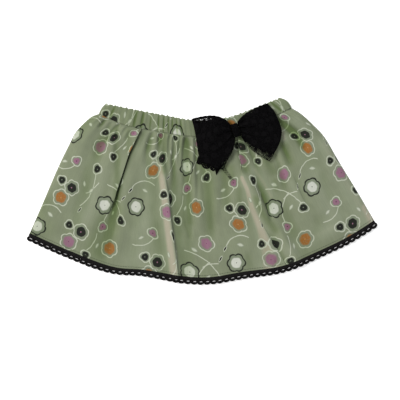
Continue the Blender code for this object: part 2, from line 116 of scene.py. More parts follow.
class Outline:
    """A smooth plan curve through the rows of a table, read by its share of length."""

    SAMPLES = 800
    STEP = 0.004  # the share over which its direction is read

    def __init__(self, rows: Line) -> None:
        """Samples the curve through some points.

        Args:
            rows: the points, in millimetres.
        """
        p = np.array(rows, float)
        p = np.vstack([2 * p[0] - p[1], p, 2 * p[-1] - p[-2]])
        place = np.linspace(0, len(rows) - 1, self.SAMPLES)
        i = np.minimum(place.astype(int), len(rows) - 2)
        f = (place - i)[:, None]
        a, b, c, d = p[i], p[i + 1], p[i + 2], p[i + 3]
        bend = (2 * a - 5 * b + 4 * c - d) * f * f
        self.points = b + 0.5 * ((c - a) * f + bend + (3 * b - a - 3 * c + d) * f**3)
        steps = np.linalg.norm(np.diff(self.points, axis=0), axis=1)
        self.along = np.concatenate([[0.0], np.cumsum(steps)])
        self.length = float(self.along[-1])

    def at(self, share: Grid) -> Grid:
        """The points at some shares of the curve's length."""
        distance = np.asarray(share, float) * self.length
        return np.stack([np.interp(distance, self.along, self.points[:, k]) for k in (0, 1)], axis=-1)

    def out(self, share: Grid) -> Grid:
        """Finds the directions square to the curve, on its right as it is walked.

        Args:
            share: shares of the curve's length.

        Returns:
            Unit directions in plan.
        """
        share = np.asarray(share, float)
        ahead = self.at(np.minimum(1.0, share + self.STEP)) - self.at(np.maximum(0.0, share - self.STEP))
        return unit(np.stack([ahead[..., 1], -ahead[..., 0]], axis=-1))


BAND_TOP = Outline((
    (-105.6, 96.3), (-79, 90.8), (-44, 84.2), (-13, 78.6), (9, 78.6), (32, 82.2), (58, 91.8), (85, 102.6),
))
SEAM = Outline((
    (-112.8, 85.6), (-83.5, 73.4), (-47, 66.4), (-14.5, 61.4), (10, 61.5), (36, 65.6), (64, 75.8),
    (97.6, 92.1),
))
HEM = Outline((
    (-190.3, -47.8), (-150, -65.8), (-100, -84.6), (-62, -88.6), (-20, -95.6), (10, -96.4), (45, -90.6),
    (88, -84.2), (125, -69.4), (160, -52.6), (190.3, -33.8),
))
LEFT_SIDE = Outline((
    (-112.8, 85.6), (-123.4, 80.8), (-138.4, 65.8), (-145.6, 52.3), (-158.4, 25.9), (-175.5, -14),
    (-190.3, -47.8),
))
RIGHT_SIDE = Outline((
    (97.6, 92.1), (109, 85.4), (123.2, 72.3), (135.3, 58.9), (150.7, 32.5), (171.5, -1.5), (190.3, -33.8),
))


class Fold(NamedTuple):
    """A soft ridge or trough of the front cloth. lean moves a ridge's top to the right."""

    at_seam: float
    at_hem: float
    start: float
    finish: float
    height: float
    reach: float
    lean: float = 0.0


FOLDS = [Fold(*row) for row in (
    (0.05, 0.06, 0.02, 0.95, 1.2, 11), (0.105, 0.13, 0, 0.36, -2.2, 5), (0.16, 0.165, 0, 0.9, 1.8, 9),
    (0.245, 0.25, 0, 0.95, 1.8, 8), (0.3, 0.285, 0, 0.25, -2.2, 4.5), (0.345, 0.425, 0.1, 1.2, 3, 6, 0.5),
    (0.39, 0.45, 0.1, 1.2, -1, 6.5), (0.457, 0.462, 0.02, 0.72, -2.6, 5),
    (0.52, 0.532, 0.12, 0.78, -2.2, 6), (0.593, 0.589, 0.08, 0.62, -2, 5.5),
    (0.64, 0.63, 0, 0.28, -2, 4.5), (0.62, 0.76, 0.25, 1.2, 3.2, 7, 0.5),
    (0.714, 0.722, 0.42, 0.88, -1.8, 4.4), (0.815, 0.825, 0.05, 0.85, 1.4, 11),
    (0.806, 0.79, 0.18, 0.55, -1.8, 4), (0.855, 0.9, 0.35, 1, 1.4, 12),
)]


class Gather(NamedTuple):
    """A narrow crease that runs down from the waistband's seam and dies away."""

    at: float
    drift: float
    length: float
    depth: float
    reach: float


GATHER_CREASES = [Gather(*row) for row in (
    (0.033, -0.02, 0.07, 1.5, 1.6), (0.06, 0.004, 0.12, 0.6, 1.4), (0.088, 0.006, 0.1, 0.8, 1.4),
    (0.118, 0.012, 0.26, 1.1, 1.6), (0.142, 0.01, 0.13, 0.7, 1.3), (0.166, 0.012, 0.2, 0.9, 1.5),
    (0.19, 0.01, 0.15, 0.8, 1.4), (0.243, -0.006, 0.07, 1.8, 1.5), (0.266, 0.004, 0.22, 0.9, 1.5),
    (0.291, 0.01, 0.34, 1.2, 1.7), (0.33, 0.03, 0.5, 1.9, 1.9), (0.352, 0.02, 0.3, 1.1, 1.4),
    (0.376, 0.014, 0.24, 1, 1.4), (0.4, 0.012, 0.52, 1.9, 1.7), (0.424, 0.006, 0.28, 1, 1.3),
    (0.448, 0.006, 0.5, 1.7, 1.7), (0.474, 0.006, 0.26, 1, 1.4), (0.499, 0, 0.58, 1.5, 1.5),
    (0.524, 0.002, 0.3, 1.1, 1.5), (0.549, -0.006, 0.44, 1.4, 1.8), (0.574, -0.004, 0.3, 1, 1.5),
    (0.607, 0, 0.4, 1.4, 1.8), (0.632, 0.01, 0.28, 1, 1.5), (0.664, 0.006, 0.36, 1.2, 1.7),
    (0.715, 0.01, 0.4, 1.4, 1.9), (0.742, 0.006, 0.3, 1, 1.5), (0.77, 0.006, 0.42, 1.3, 1.9),
    (0.802, 0.006, 0.26, 0.9, 1.6), (0.834, 0.004, 0.36, 1.2, 1.9), (0.88, 0.004, 0.2, 0.9, 1.6),
    (0.936, 0.008, 0.16, 0.8, 1.4), (0.962, 0.01, 0.2, 1, 1.5),
)]


class Crease(NamedTuple):
    """A short crease (or, above 0, a ridge) between two plan points."""

    x0: float
    y0: float
    x1: float
    y1: float
    height: float
    reach: float


CREASES = [Crease(*row) for row in (
    (82, 80, 95, 69.5, -4.4, 3.4), (95, 69.5, 104, 63.5, -4.4, 3.4), (104, 63.5, 110.5, 50, -3.2, 4),
    (-93.6, 68, -93.8, 20, -1.6, 2.8), (0, 26, 7, -6, -2.4, 4.6), (7, -6, 8, -40, -1.6, 4.6),
    (40.5, 56, 48, 22, -1.8, 3.6), (96, 85, 116, 68, 1.4, 5), (116, 68, 121, 50, 0.8, 6),
    (88.5, 52, 96, 32, -3, 4.2), (60, 12, 65, -4, -1.2, 2.8), (65, -4, 70.4, -18.2, -2, 2),
    (-105.9, 77.6, -111.8, 71.4, -1.2, 1.8), (-98, 60, -116, 50, -0.7, 3.5),
    (-5.5, 24, -5, -18, -0.7, 1.8), (-15.8, 68, -15.2, 20, -3, 2.6), (-15.2, 20, -13, -50, -2.5, 2.8),
    (-45.8, 78, -44.4, 46, -3.8, 3.2), (-44.4, 46, -40.5, 26, -3, 3.2), (-12, 56, -13.5, -6, 1, 3.6),
    (22, 4, 20, -34, -0.7, 3.2), (1, -30, 4, -66, -0.5, 3.6), (-22, -34, -19, -74, 0.6, 4.2),
    (70.4, -18.2, 74.2, -31, -2, 1.8), (-90, 4, -94, -18, -2.4, 4), (-94, -18, -99.5, -44, -3, 5.5),
    (-99.5, -44, -107.5, -68, -2.8, 8), (-90.6, 73.5, -96.6, 55, -2, 1.8),
    (-79.8, 68, -84, 58, -1.3, 1.7), (-105, 80.5, -112.5, 71, -2, 2.2), (80.5, -80, 82.5, -70, -0.6, 1.3),
    (85.5, -79.5, 87, -71.5, -0.5, 1.2), (90, -78.5, 91, -72, -0.5, 1.2), (-136, 12, -148, -26, 0.5, 7),
    (132, 16, 142, -20, -0.5, 7), (118, -34, 150, -20, -0.45, 6),
)]


class Pleat(NamedTuple):
    """A fold whose edge lies over the cloth beside it.

    line is the edge in plan, from the waist down. tuck is how far the cloth doubles back, in
    reaches: past 1 it overlaps. drop is the step's height, and side is 1 where the left cloth lies
    on top and -1 where the right one does. The last field is how dark a shadow is painted under the
    edge.
    """

    line: Line
    reach: float
    tuck: float
    drop: float
    side: int
    gap: float


PLEATS = [Pleat(*row) for row in (
    (((-59, 78.5), (-62.8, 73.7), (-66.8, 67.2), (-70.2, 60.4), (-74.3, 52.3), (-79, 42.9),
      (-87.2, 18.2), (-93.6, -1), (-96.5, -16), (-100, -28)), 6, 1.9, 5, 1, 1),
    (((-42, 24), (-39.6, 14.9), (-36.3, -3.9), (-34.1, -25.9), (-29.7, -58.9), (-25, -96)),
     4.4, 0.7, 1.3, 1, 0),
    (((37.6, 66), (39.1, 60), (40.2, 45.7), (42.4, 23.7), (45.1, 4)), 4.4, 1.4, 2.4, -1, 0.15),
    (((56, -16), (66, -35.8), (74.8, -51.2), (84.7, -66.6), (93, -82)), 4.6, 1, 1.4, 1, 0.05),
    (((98, 24), (102.1, 11.9), (108.9, -3.9), (115.5, -17), (121, -30)), 4, 0.8, 1, 1, 0),
)]


class Stretch(NamedTuple):
    """A line of painted highlight or painted shade on the cloth, with its reach at the top and at the
    bottom.
    """

    line: Line
    reach_above: float
    reach_below: float
    strength: float


PAINTED_HIGHLIGHTS = [Stretch(*row) for row in (
    (((-47.5, 30), (-44.4, 14), (-41.6, -4), (-38, -37), (-31.5, -88)), 6, 7.5, 0.7),
    (((43.5, 15), (49.5, 2), (54.5, -18), (64, -40), (71, -62), (78, -88)), 3.6, 15, 0.72),
    (((98, 10), (104, -6), (110, -18)), 3, 3.5, 0.35),
    (((134, 52), (152, 20), (168, -6), (184, -34)), 10, 16, 0.46),
    (((180, -18), (192, -38)), 8, 12, 0.75), (((122, 16), (134, -6), (146, -26)), 11, 14, 0.42),
    (((150, -36), (122, -50), (96, -64)), 8, 8, 0.44), (((-56, 24), (-60, 0), (-66, -70)), 8, 18, 0.42),
    (((-114, 20), (-120, -6), (-128, -26)), 11, 12, 0.36), (((58, 24), (66, 12), (76, -6)), 5, 5, 0.5),
    (((87, 70), (90, 57)), 4.5, 4.5, 0.55), (((104, 78), (112, 68), (124, 50)), 6, 9, 0.36),
)]  # painted highlight where the cloth stands up into the light
# Painted shade along folds and valleys of the cloth.
SHADES = [Stretch(*row) for row in (
    (((42, 58), (46, 34), (48, 24)), 4.5, 4.5, 0.72), (((2, 30), (6.5, 10), (9, -40)), 8, 5, 0.66),
    (((90, 50), (96, 33)), 5, 5, 0.62), (((-93.5, 66), (-93, 20), (-93.5, -22)), 3.5, 4.5, 0.5),
    (((-95, -20), (-102, -45), (-112, -66)), 8, 12, 0.66), (((-108, -32), (-118, -60)), 8, 11, 0.5),
    (((-172, -10), (-184, -42)), 9, 10, 0.34), (((-137, 66), (-122, 82)), 9, 9, 0.48),
    (((-80, 66), (-80, 46)), 4, 4, 0.4), (((-42, 76), (-41.5, 22)), 5, 4, 0.58),
    (((-27, 66), (-25, 46)), 5, 5, 0.42), (((-16.6, 40), (-15.6, 10), (-14, -34)), 4.5, 5, 0.72),
    (((-16, -50), (-14, -84)), 7, 7, 0.36), (((31, 26), (33, 12)), 5, 5, 0.5),
    (((70, 34), (78, 22)), 6, 6, 0.5), (((80, 12), (81, 2)), 4, 4, 0.4),
    (((41, 2), (41, -12)), 4, 4, 0.4), (((59, -8), (66, -24), (80, -42)), 4, 5, 0.58),
    (((86, 77), (96, 69), (103, 63)), 4, 5, 1), (((50, -72), (52, -80)), 5, 5, 0.3),
    (((-188, -44), (-172, -40)), 12, 12, 0.3),
)]
SHADE_HOLLOW_REACHES = (9.0, 24.0)  # how far off the cloth must rise again for shade to be painted at a place
# how far below the cloth round it a place lies where its painted shade is full
SHADE_HOLLOW_DEPTH = 2.1


def cloth_plan(across: Grid, down: Grid) -> Grid:
    """Places points of the panels' cloth in plan.

    Args:
        across: shares of the way across.
        down: shares of the way down.

    Returns:
        The places, in millimetres.
    """
    a, d = np.asarray(across, float)[..., None], np.asarray(down, float)[..., None]
    upper = (1 - a) * SEAM.at(0.0) + a * SEAM.at(1.0)
    lower = (1 - a) * HEM.at(0.0) + a * HEM.at(1.0)
    rows = (1 - d) * (SEAM.at(across) - upper) + d * (HEM.at(across) - lower)
    return rows + (1 - a) * LEFT_SIDE.at(down) + a * RIGHT_SIDE.at(down)


def panel_width(down: Grid) -> Grid:
    """The panels' width at a share down."""
    return np.linalg.norm(RIGHT_SIDE.at(down) - LEFT_SIDE.at(down), axis=-1)


def inwards_of(across: Grid, down: Grid) -> Grid:
    """How far points of a panel lie from its nearer side seam."""
    return np.minimum(across, 1 - across) * panel_width(down)


def across_of_phase(phase: Grid) -> Grid:
    """The share across of a place counted in gathers from the left, which lie unevenly."""
    uneven = np.sin(phase * 1.19) + 0.7 * np.sin(phase * 2.03 + 1.0)
    return (phase + GATHER_UNEVENNESS * uneven * np.sin(np.pi * phase / GATHERS)) / GATHERS


def gather_wave(phase: Grid) -> Grid:
    """The gathers' wave, from -1 to 1, with some of them smaller than others."""
    return np.cos(2 * np.pi * phase) * (0.74 + 0.26 * np.sin(phase * 1.7 + 0.6))


def drift_noise(x: Grid, y: Grid, wavelength: float, seed: float) -> Grid:
    """Makes slow uneven waves, for cloth that is never quite flat.

    Args:
        x: places, in millimetres.
        y: the same, the other way.
        wavelength: the waves' usual length.
        seed: which waves these are.

    Returns:
        The waves' height, from -1 to 1 or so.
    """
    k = 2 * np.pi / wavelength
    waves = np.sin(k * (0.9 * x + 0.35 * y) + seed) + np.sin(k * (0.62 * x - 0.71 * y) + 2.3 * seed)
    waves += np.sin(k * (1.31 * x + 0.14 * y) + 4.1 * seed + 0.8 * np.sin(0.7 * k * y))
    return waves / 3


def bell(away: Grid) -> Grid:
    """1 at 0, and dying away smoothly to both sides."""
    return np.exp(-(away * away))


def squared(wave: Grid, power: float) -> Grid:
    """A wave from -1 to 1 with its rounds pressed towards square."""
    return np.sign(wave) * np.abs(wave) ** power


def raised(plan: Grid, level: Grid) -> Grid:
    """Plan points set at some levels."""
    return np.concatenate([plan, level[..., None]], axis=-1)


def from_segment(plan: Grid, start: Sequence[float], end: Sequence[float]) -> tuple[Grid, Grid]:
    """Measures points against a straight stretch.

    Args:
        plan: the points.
        start: the stretch's start.
        end: its end.

    Returns:
        How far each point lies off it, and which share along it is nearest.
    """
    x, y = plan[..., 0] - start[0], plan[..., 1] - start[1]
    way = np.array([end[0] - start[0], end[1] - start[1]])
    t = np.clip((x * way[0] + y * way[1]) / (way @ way), 0, 1)
    return np.hypot(x - t * way[0], y - t * way[1]), t


def run_lengths(points: Grid, steep_weight: float = 0.0) -> Grid:
    """Measures how far along its row's cloth each point lies.

    Args:
        points: rows by columns by 3.
        steep_weight: how much more cloth a steep stretch takes up than it shows.

    Returns:
        The distances, in millimetres.
    """
    steps = np.diff(points, axis=1)
    flat = np.linalg.norm(steps[..., :2], axis=-1)
    slope = np.minimum(np.abs(steps[..., 2]) / np.maximum(flat, 1e-6), 2.0)
    cloth = np.linalg.norm(steps, axis=-1) * (1 + steep_weight * slope**2)
    return np.concatenate([np.zeros((len(points), 1)), np.cumsum(cloth, axis=1)], axis=1)


def smooth_rows(values: Grid, rows: int) -> Grid:
    """Averages each row's values with those of the rows round it.

    Args:
        values: rows by columns.
        rows: how many rows go into each average, an odd number.

    Returns:
        The averages, in the same shape.
    """
    half = rows // 2
    padded = np.pad(values, ((half + 1, half), (0, 0)), mode="edge")
    sums = np.cumsum(padded, axis=0)
    return (sums[rows:] - sums[:-rows]) / rows


def frame_shift() -> np.ndarray:
    """Finds how far the tables' origin lies from the frame's, by the back panel's box.

    Returns:
        The shift, in millimetres.
    """
    low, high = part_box("back_panel")
    edge = HEM.at(np.linspace(0, 1, 400))
    return np.array([(low[0] + high[0]) / 2 / MM, low[1] / MM - edge[:, 1].min(), 0.0])


SHIFT = frame_shift()


# --- Meshes ---


def new_object(name: str, data: bpy.types.ID) -> Object:
    """Puts an object in the scene.

    Args:
        name: its name.
        data: its mesh, light or camera.

    Returns:
        The object.
    """
    obj = bpy.data.objects.new(name, data)
    bpy.context.scene.collection.objects.link(obj)
    return obj


def as_piece(obj: Object, slot: Slot, stands_for: str = "") -> Object:
    """Makes an object a piece of the skirt.

    Args:
        obj: the object.
        slot: its material slot, which is not used.
        stands_for: the CAD node that it is shown in place of, if any.

    Returns:
        The same object.
    """
    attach(obj, BODY)
    if stands_for:
        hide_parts(stands_for)
    log.info("%s: %d faces", obj.name, len(obj.data.polygons))
    return obj


@dataclass
class ClothMesh:
    """A mesh made of grids of points in the tables' millimetres, as one piece of the skirt."""

    name: str
    material: Material
    points: list[Grid] = field(default_factory=list)
    faces: list[Grid] = field(default_factory=list)
    uvs: list[Grid] = field(default_factory=list)
    values: dict[str, list[Grid]] = field(default_factory=dict)
    ends: list[list[int]] = field(default_factory=list)
    count: int = 0

    def add_grid(self, points: Grid, along: Grid, aside: Grid, closed: bool = False,
                 flip: tuple[int, ...] = (), **values: Grid) -> "ClothMesh":
        """Adds a grid of four-sided faces.

        Args:
            points: rows by columns by 3, in millimetres.
            along: where each point lies on the flat cloth, in millimetres.
            aside: the same, the other way of the cloth.
            closed: joins the last column to the first one, and closes both ends.
            flip: the ways in which the grid is turned round, to face outwards.
            values: named numbers for each point, which the material can read.

        Returns:
            The same mesh.
        """
        shape = points.shape[:2]
        index = np.arange(shape[0] * shape[1]).reshape(shape) + self.count
        ahead = np.roll(index, -1, axis=1) if closed else index[:, 1:]
        here = index if closed else index[:, :-1]
        faces = np.stack([here[:-1], here[1:], ahead[1:], ahead[:-1]], axis=-1)
        uv = np.stack([np.broadcast_to(along, shape), np.broadcast_to(aside, shape)], axis=-1) * MM
        self.faces.append(faces.reshape(-1, 4))
        self.points.append(np.flip(points, flip).reshape(-1, 3))
        self.uvs.append(np.flip(uv, flip).reshape(-1, 2))
        for key, value in values.items():
            whole = np.flip(np.broadcast_to(value, shape), flip)
            self.values.setdefault(key, []).append(whole.reshape(-1))
        self.count += shape[0] * shape[1]
        self.ends += [index[0].tolist(), index[-1, ::-1].tolist()] if closed else []
        return self

    def build(self, slot: Slot, stands_for: str = "", thickness: float = 0.0,
              offset: float = -1.0) -> Object:
        """Makes the piece, at the frame's origin.

        Args:
            slot: its material slot.
            stands_for: the CAD node that it is shown in place of, if any.
            thickness: the cloth's, in millimetres, or 0 for a mesh that is already closed.
            offset: -1 keeps the grid as the outer face, and 1 as the inner one.

        Returns:
            The piece.
        """
        faces = np.vstack(self.faces).tolist() + self.ends
        mesh = bpy.data.meshes.new(self.name)
        mesh.from_pydata(((np.vstack(self.points) + SHIFT) * MM).tolist(), [], faces)
        corners = np.array([corner for face in faces for corner in face])
        uvs = np.vstack(self.uvs)[corners]
        mesh.uv_layers.new(name="cloth").data.foreach_set("uv", uvs.astype(np.float32).ravel())
        for key, parts in self.values.items():
            attribute = mesh.attributes.new(key, "FLOAT", "POINT")
            attribute.data.foreach_set("value", np.concatenate(parts).astype(np.float32))
        mesh.materials.append(self.material)
        mesh.shade_smooth()
        mesh.update()
        obj = new_object(self.name, mesh)
        if thickness:
            shell = obj.modifiers.new("cloth thickness", "SOLIDIFY")
            shell.thickness = thickness * MM
            shell.offset = offset
            shell.use_even_offset = False
        return as_piece(obj, slot, stands_for)


# --- Nodes ---


class Wiring:
    """Adds nodes to a tree in the order in which they are worked out."""

    def __init__(self, tree: Tree, source: bpy.types.bpy_prop_collection | None = None) -> None:
        """Works on a tree, whose source holds the inputs where it is a group."""
        self.tree, self.source = tree, source

    @classmethod
    def new_group(cls, name: str, *inputs: tuple[str, str], output: tuple[str, str],
                  kind: str = "ShaderNodeTree") -> "Wiring":
        """Starts a node group.

        Args:
            name: the group's name.
            inputs: pairs of a sort and the names of the inputs of that sort.
            output: its output's sort and name.
            kind: the sort of tree.

        Returns:
            The group's wiring.
        """
        tree = bpy.data.node_groups.new(name, kind)
        for sort, titles in inputs:
            for title in titles.split(", "):
                tree.interface.new_socket(title, in_out="INPUT", socket_type=f"NodeSocket{sort}")
        tree.interface.new_socket(output[1], in_out="OUTPUT", socket_type=f"NodeSocket{output[0]}")
        return cls(tree, tree.nodes.new("NodeGroupInput").outputs)

    def finish(self, result: Socket) -> Tree:
        """Joins a group's result to its output."""
        self.feed(self.tree.nodes.new("NodeGroupOutput").inputs[0], result)
        return self.tree

    def feed(self, socket: Socket, value: object) -> None:
        """Links a socket, or sets its value.

        Args:
            socket: an input.
            value: an output to link to it, or a plain value.
        """
        if isinstance(value, Socket):
            self.tree.links.new(value, socket)
        elif isinstance(value, tuple) and socket.type == "RGBA" and len(value) == 3:
            socket.default_value = (*value, 1.0)
        else:
            socket.default_value = value

    def set(self, node: Node, **values: object) -> None:
        """Feeds a node's inputs by their names, with underscores for spaces."""
        for name, value in values.items():
            self.feed(node.inputs[name.replace("_", " ")], value)

    def node(self, kind: str, *values: object, **named: object) -> Node:
        """Adds a node.

        Args:
            kind: its type.
            values: its inputs in order.
            named: its properties, then inputs by their names, which start with a capital.

        Returns:
            The node.
        """
        node = self.tree.nodes.new(kind)
        for key in [key for key in named if key[0].islower()]:
            setattr(node, key, named.pop(key))
        for socket, value in zip(node.inputs, values):
            self.feed(socket, value)
        self.set(node, **named)
        return node

    def out(self, kind: str, *values: object, **named: object) -> Socket:
        """Adds a node and returns its first output."""
        return self.node(kind, *values, **named).outputs[0]

    def math(self, operation: str, *values: object, clamp: bool = False) -> Socket:
        """A number worked out from others."""
        return self.out("ShaderNodeMath", *values, operation=operation, use_clamp=clamp)

    def vector(self, operation: str, *values: object) -> Socket:
        """A vector worked out from others, or its length."""
        node = self.node("ShaderNodeVectorMath", *values, operation=operation)
        return node.outputs["Value" if operation in ("LENGTH", "DOT_PRODUCT") else "Vector"]

    def ramp(self, value: object, start: object, end: object, low: object = 0.0,
             high: object = 1.0) -> Socket:
        """A smooth step from low to high as a value goes from start to end."""
        return self.out("ShaderNodeMapRange", interpolation_type="SMOOTHSTEP", Value=value,
                        From_Min=start, From_Max=end, To_Min=low, To_Max=high)

    def mix(self, mask: object, under: object, over: object, blend: str = "MIX") -> Socket:
        """Lays one colour over another.

        Args:
            mask: how much of the upper one shows.
            under: the lower colour.
            over: the upper colour.
            blend: how they are mixed.

        Returns:
            The mixed colour.
        """
        node = self.node("ShaderNodeMix", data_type="RGBA", blend_type=blend)
        for index, value in ((0, mask), (6, under), (7, over)):
            self.feed(node.inputs[index], value)
        return node.outputs[2]

    def group(self, tree: Tree, **values: object) -> Socket:
        """Places a group and feeds its inputs by name."""
        return self.out("ShaderNodeGroup", node_tree=tree, **values)

    def xyz(self, *values: object, **named: object) -> Socket:
        """A vector put together from its parts."""
        return self.out("ShaderNodeCombineXYZ", *values, **named)

    def split(self, vector: Socket) -> bpy.types.bpy_prop_collection:
        """A vector's X, Y and Z."""
        return self.node("ShaderNodeSeparateXYZ", vector).outputs

    def noise(self, place: object, scale: float, detail: float = 2.0, output: str = "Fac") -> Socket:
        """Soft noise from 0 to 1, as a number or as a colour."""
        node = self.node("ShaderNodeTexNoise", Vector=place, Scale=scale, Detail=detail)
        return node.outputs[output]

    def attribute(self, name: str) -> Socket:
        """One of the piece's named numbers."""
        return self.node("ShaderNodeAttribute", attribute_name=name).outputs["Fac"]

    def cloth(self) -> Socket:
        """The place on the flat cloth, in metres."""
        return self.out("ShaderNodeUVMap", uv_map="cloth")

    def place(self) -> Socket:
        """The place on the object."""
        return self.node("ShaderNodeTexCoord").outputs["Object"]

    def bump(self, height: Socket, distance: float, strength: float) -> Socket:
        """The normals of a surface with some relief, whose depth is given in millimetres."""
        return self.out("ShaderNodeBump", Distance=distance * MM, Strength=strength, Height=height)


# --- The printed cotton, whose repeat is charted here in millimetres of flat cloth ---

REPEAT_WIDTH = 116.5
REPEAT_HEIGHT = 110.0
REPEAT_DROP = 0.5  # each repeat to the right starts this share of its height further up

CREAM: Rgb = (0.42, 0.45, 0.36)
PALE_GREEN: Rgb = (0.245, 0.275, 0.205)
GROUND_GREEN: Rgb = (0.186, 0.213, 0.138)
GREY_GREEN: Rgb = (0.165, 0.196, 0.140)
OLIVE_LINE: Rgb = (0.018, 0.022, 0.015)
CHARCOAL: Rgb = (0.014, 0.016, 0.012)
ORANGE_INK: Rgb = (0.270, 0.112, 0.026)
LIGHT_ORANGE_INK: Rgb = (0.40, 0.21, 0.08)
MAUVE_INK: Rgb = (0.240, 0.118, 0.175)
DEEP_MAUVE_INK: Rgb = (0.10, 0.035, 0.07)
WHITE_INK: Rgb = (0.49, 0.51, 0.45)


class Bloom(Enum):
    """The sorts of flower and bud.

    Each has its core's, outline's and dot's colours, the core's, dot's and blur's shares of the
    radius, and the outline's width in millimetres.
    """

    ORANGE = (ORANGE_INK, CREAM, LIGHT_ORANGE_INK, 0.68, 0.10, 0.13, 1.1)
    MAUVE = (MAUVE_INK, CREAM, DEEP_MAUVE_INK, 0.69, 0.08, 0.16, 1.1)
    DARK = (CHARCOAL, CREAM, MAUVE_INK, 0.64, 0.12, 0.05, 1.1)
    WHITE = (WHITE_INK, OLIVE_LINE, OLIVE_LINE, 0.60, 0.07, 0.08, 1.6)
    DARK_BUD = (CHARCOAL, CREAM, GREY_GREEN, 0.70, 0.14, 0.05, 1.1)
    MAUVE_BUD = (MAUVE_INK, CREAM, DEEP_MAUVE_INK, 0.66, 0.17, 0.12, 1.1)


class Flower(NamedTuple):
    """A flower or a bud of the print."""

    bloom: Bloom
    x: float
    y: float
    radius: float
    lobes: int
    turn: float
    depth: float = 0.06


FLOWERS = [Flower(Bloom[name], *row) for name, *row in (
    ("WHITE", 13, 13, 9.2, 6, 0.4), ("MAUVE", 51, 11.5, 8.8, 6, 1.3), ("DARK", 61, 26.5, 8.4, 5, 2.6),
    ("ORANGE", 97, 20, 9, 6, 0.9), ("ORANGE", 26.5, 53, 8.8, 5, 2, 0.07), ("DARK", 35, 67.5, 8.2, 6, 0.2),
    ("WHITE", 78, 62.5, 9.6, 6, 1.9, 0.075), ("MAUVE", 101, 92.5, 8.4, 5, 0.7),
    ("DARK_BUD", 46, 29, 5, 3, 0.5, 0.085), ("DARK_BUD", 21, 71, 5.4, 3, 1.8, 0.085),
    ("DARK_BUD", 57, 97, 5.6, 3, 2.9, 0.1), ("DARK_BUD", 110, 51.5, 5.6, 3, 1.1, 0.1),
    ("DARK_BUD", 72.5, 5, 5, 3, 2.2, 0.1), ("MAUVE_BUD", 29.5, 97, 5.6, 3, 1.6, 0.11),
    ("MAUVE_BUD", 83.5, 39.5, 5.4, 3, 0.1, 0.11),
)]


class Stem(NamedTuple):
    """A thin curved stem between two points. bow is how far its middle stands to its left."""

    x0: float
    y0: float
    x1: float
    y1: float
    bow: float


STEMS = [Stem(*row) for row in (
    (110, 56, 75, 84.5, -6.5), (57, 91, 50.5, 53, 5), (53, 68, 64, 83.5, -1.5),
    (83.5, 45.5, 101, 72.5, 4.5), (29.5, 91.5, 6.5, 83.5, 4), (72.5, 10.5, 79, 31, -2),
    (33, 37.5, 6.5, 33, -5.5), (92.5, 68, 110, 70.5, 1.5),
)]


class Leaf(NamedTuple):
    """A small leaf, by its middle, its turn in degrees and its half sizes."""

    x: float
    y: float
    turn: float
    half_length: float
    half_width: float


PALE_LEAVES = [Leaf(*row) for row in (
    (86, 86, 150, 3.4, 1.25), (58, 72.5, 60, 3.2, 1.2), (48, 77, 110, 2.8, 1.1), (97, 57, 35, 3, 1.1),
    (15.5, 91, 20, 3, 1.1), (22, 31, 160, 3.2, 1.2), (82.5, 18.5, 75, 2.6, 1),
)]
DARK_LEAVES = [Leaf(*row) for row in (
    (4.5, 29.5, 55, 3.3, 0.8), (51.5, 48.5, 70, 3, 0.8), (113.5, 75, 50, 3.2, 0.8),
)]


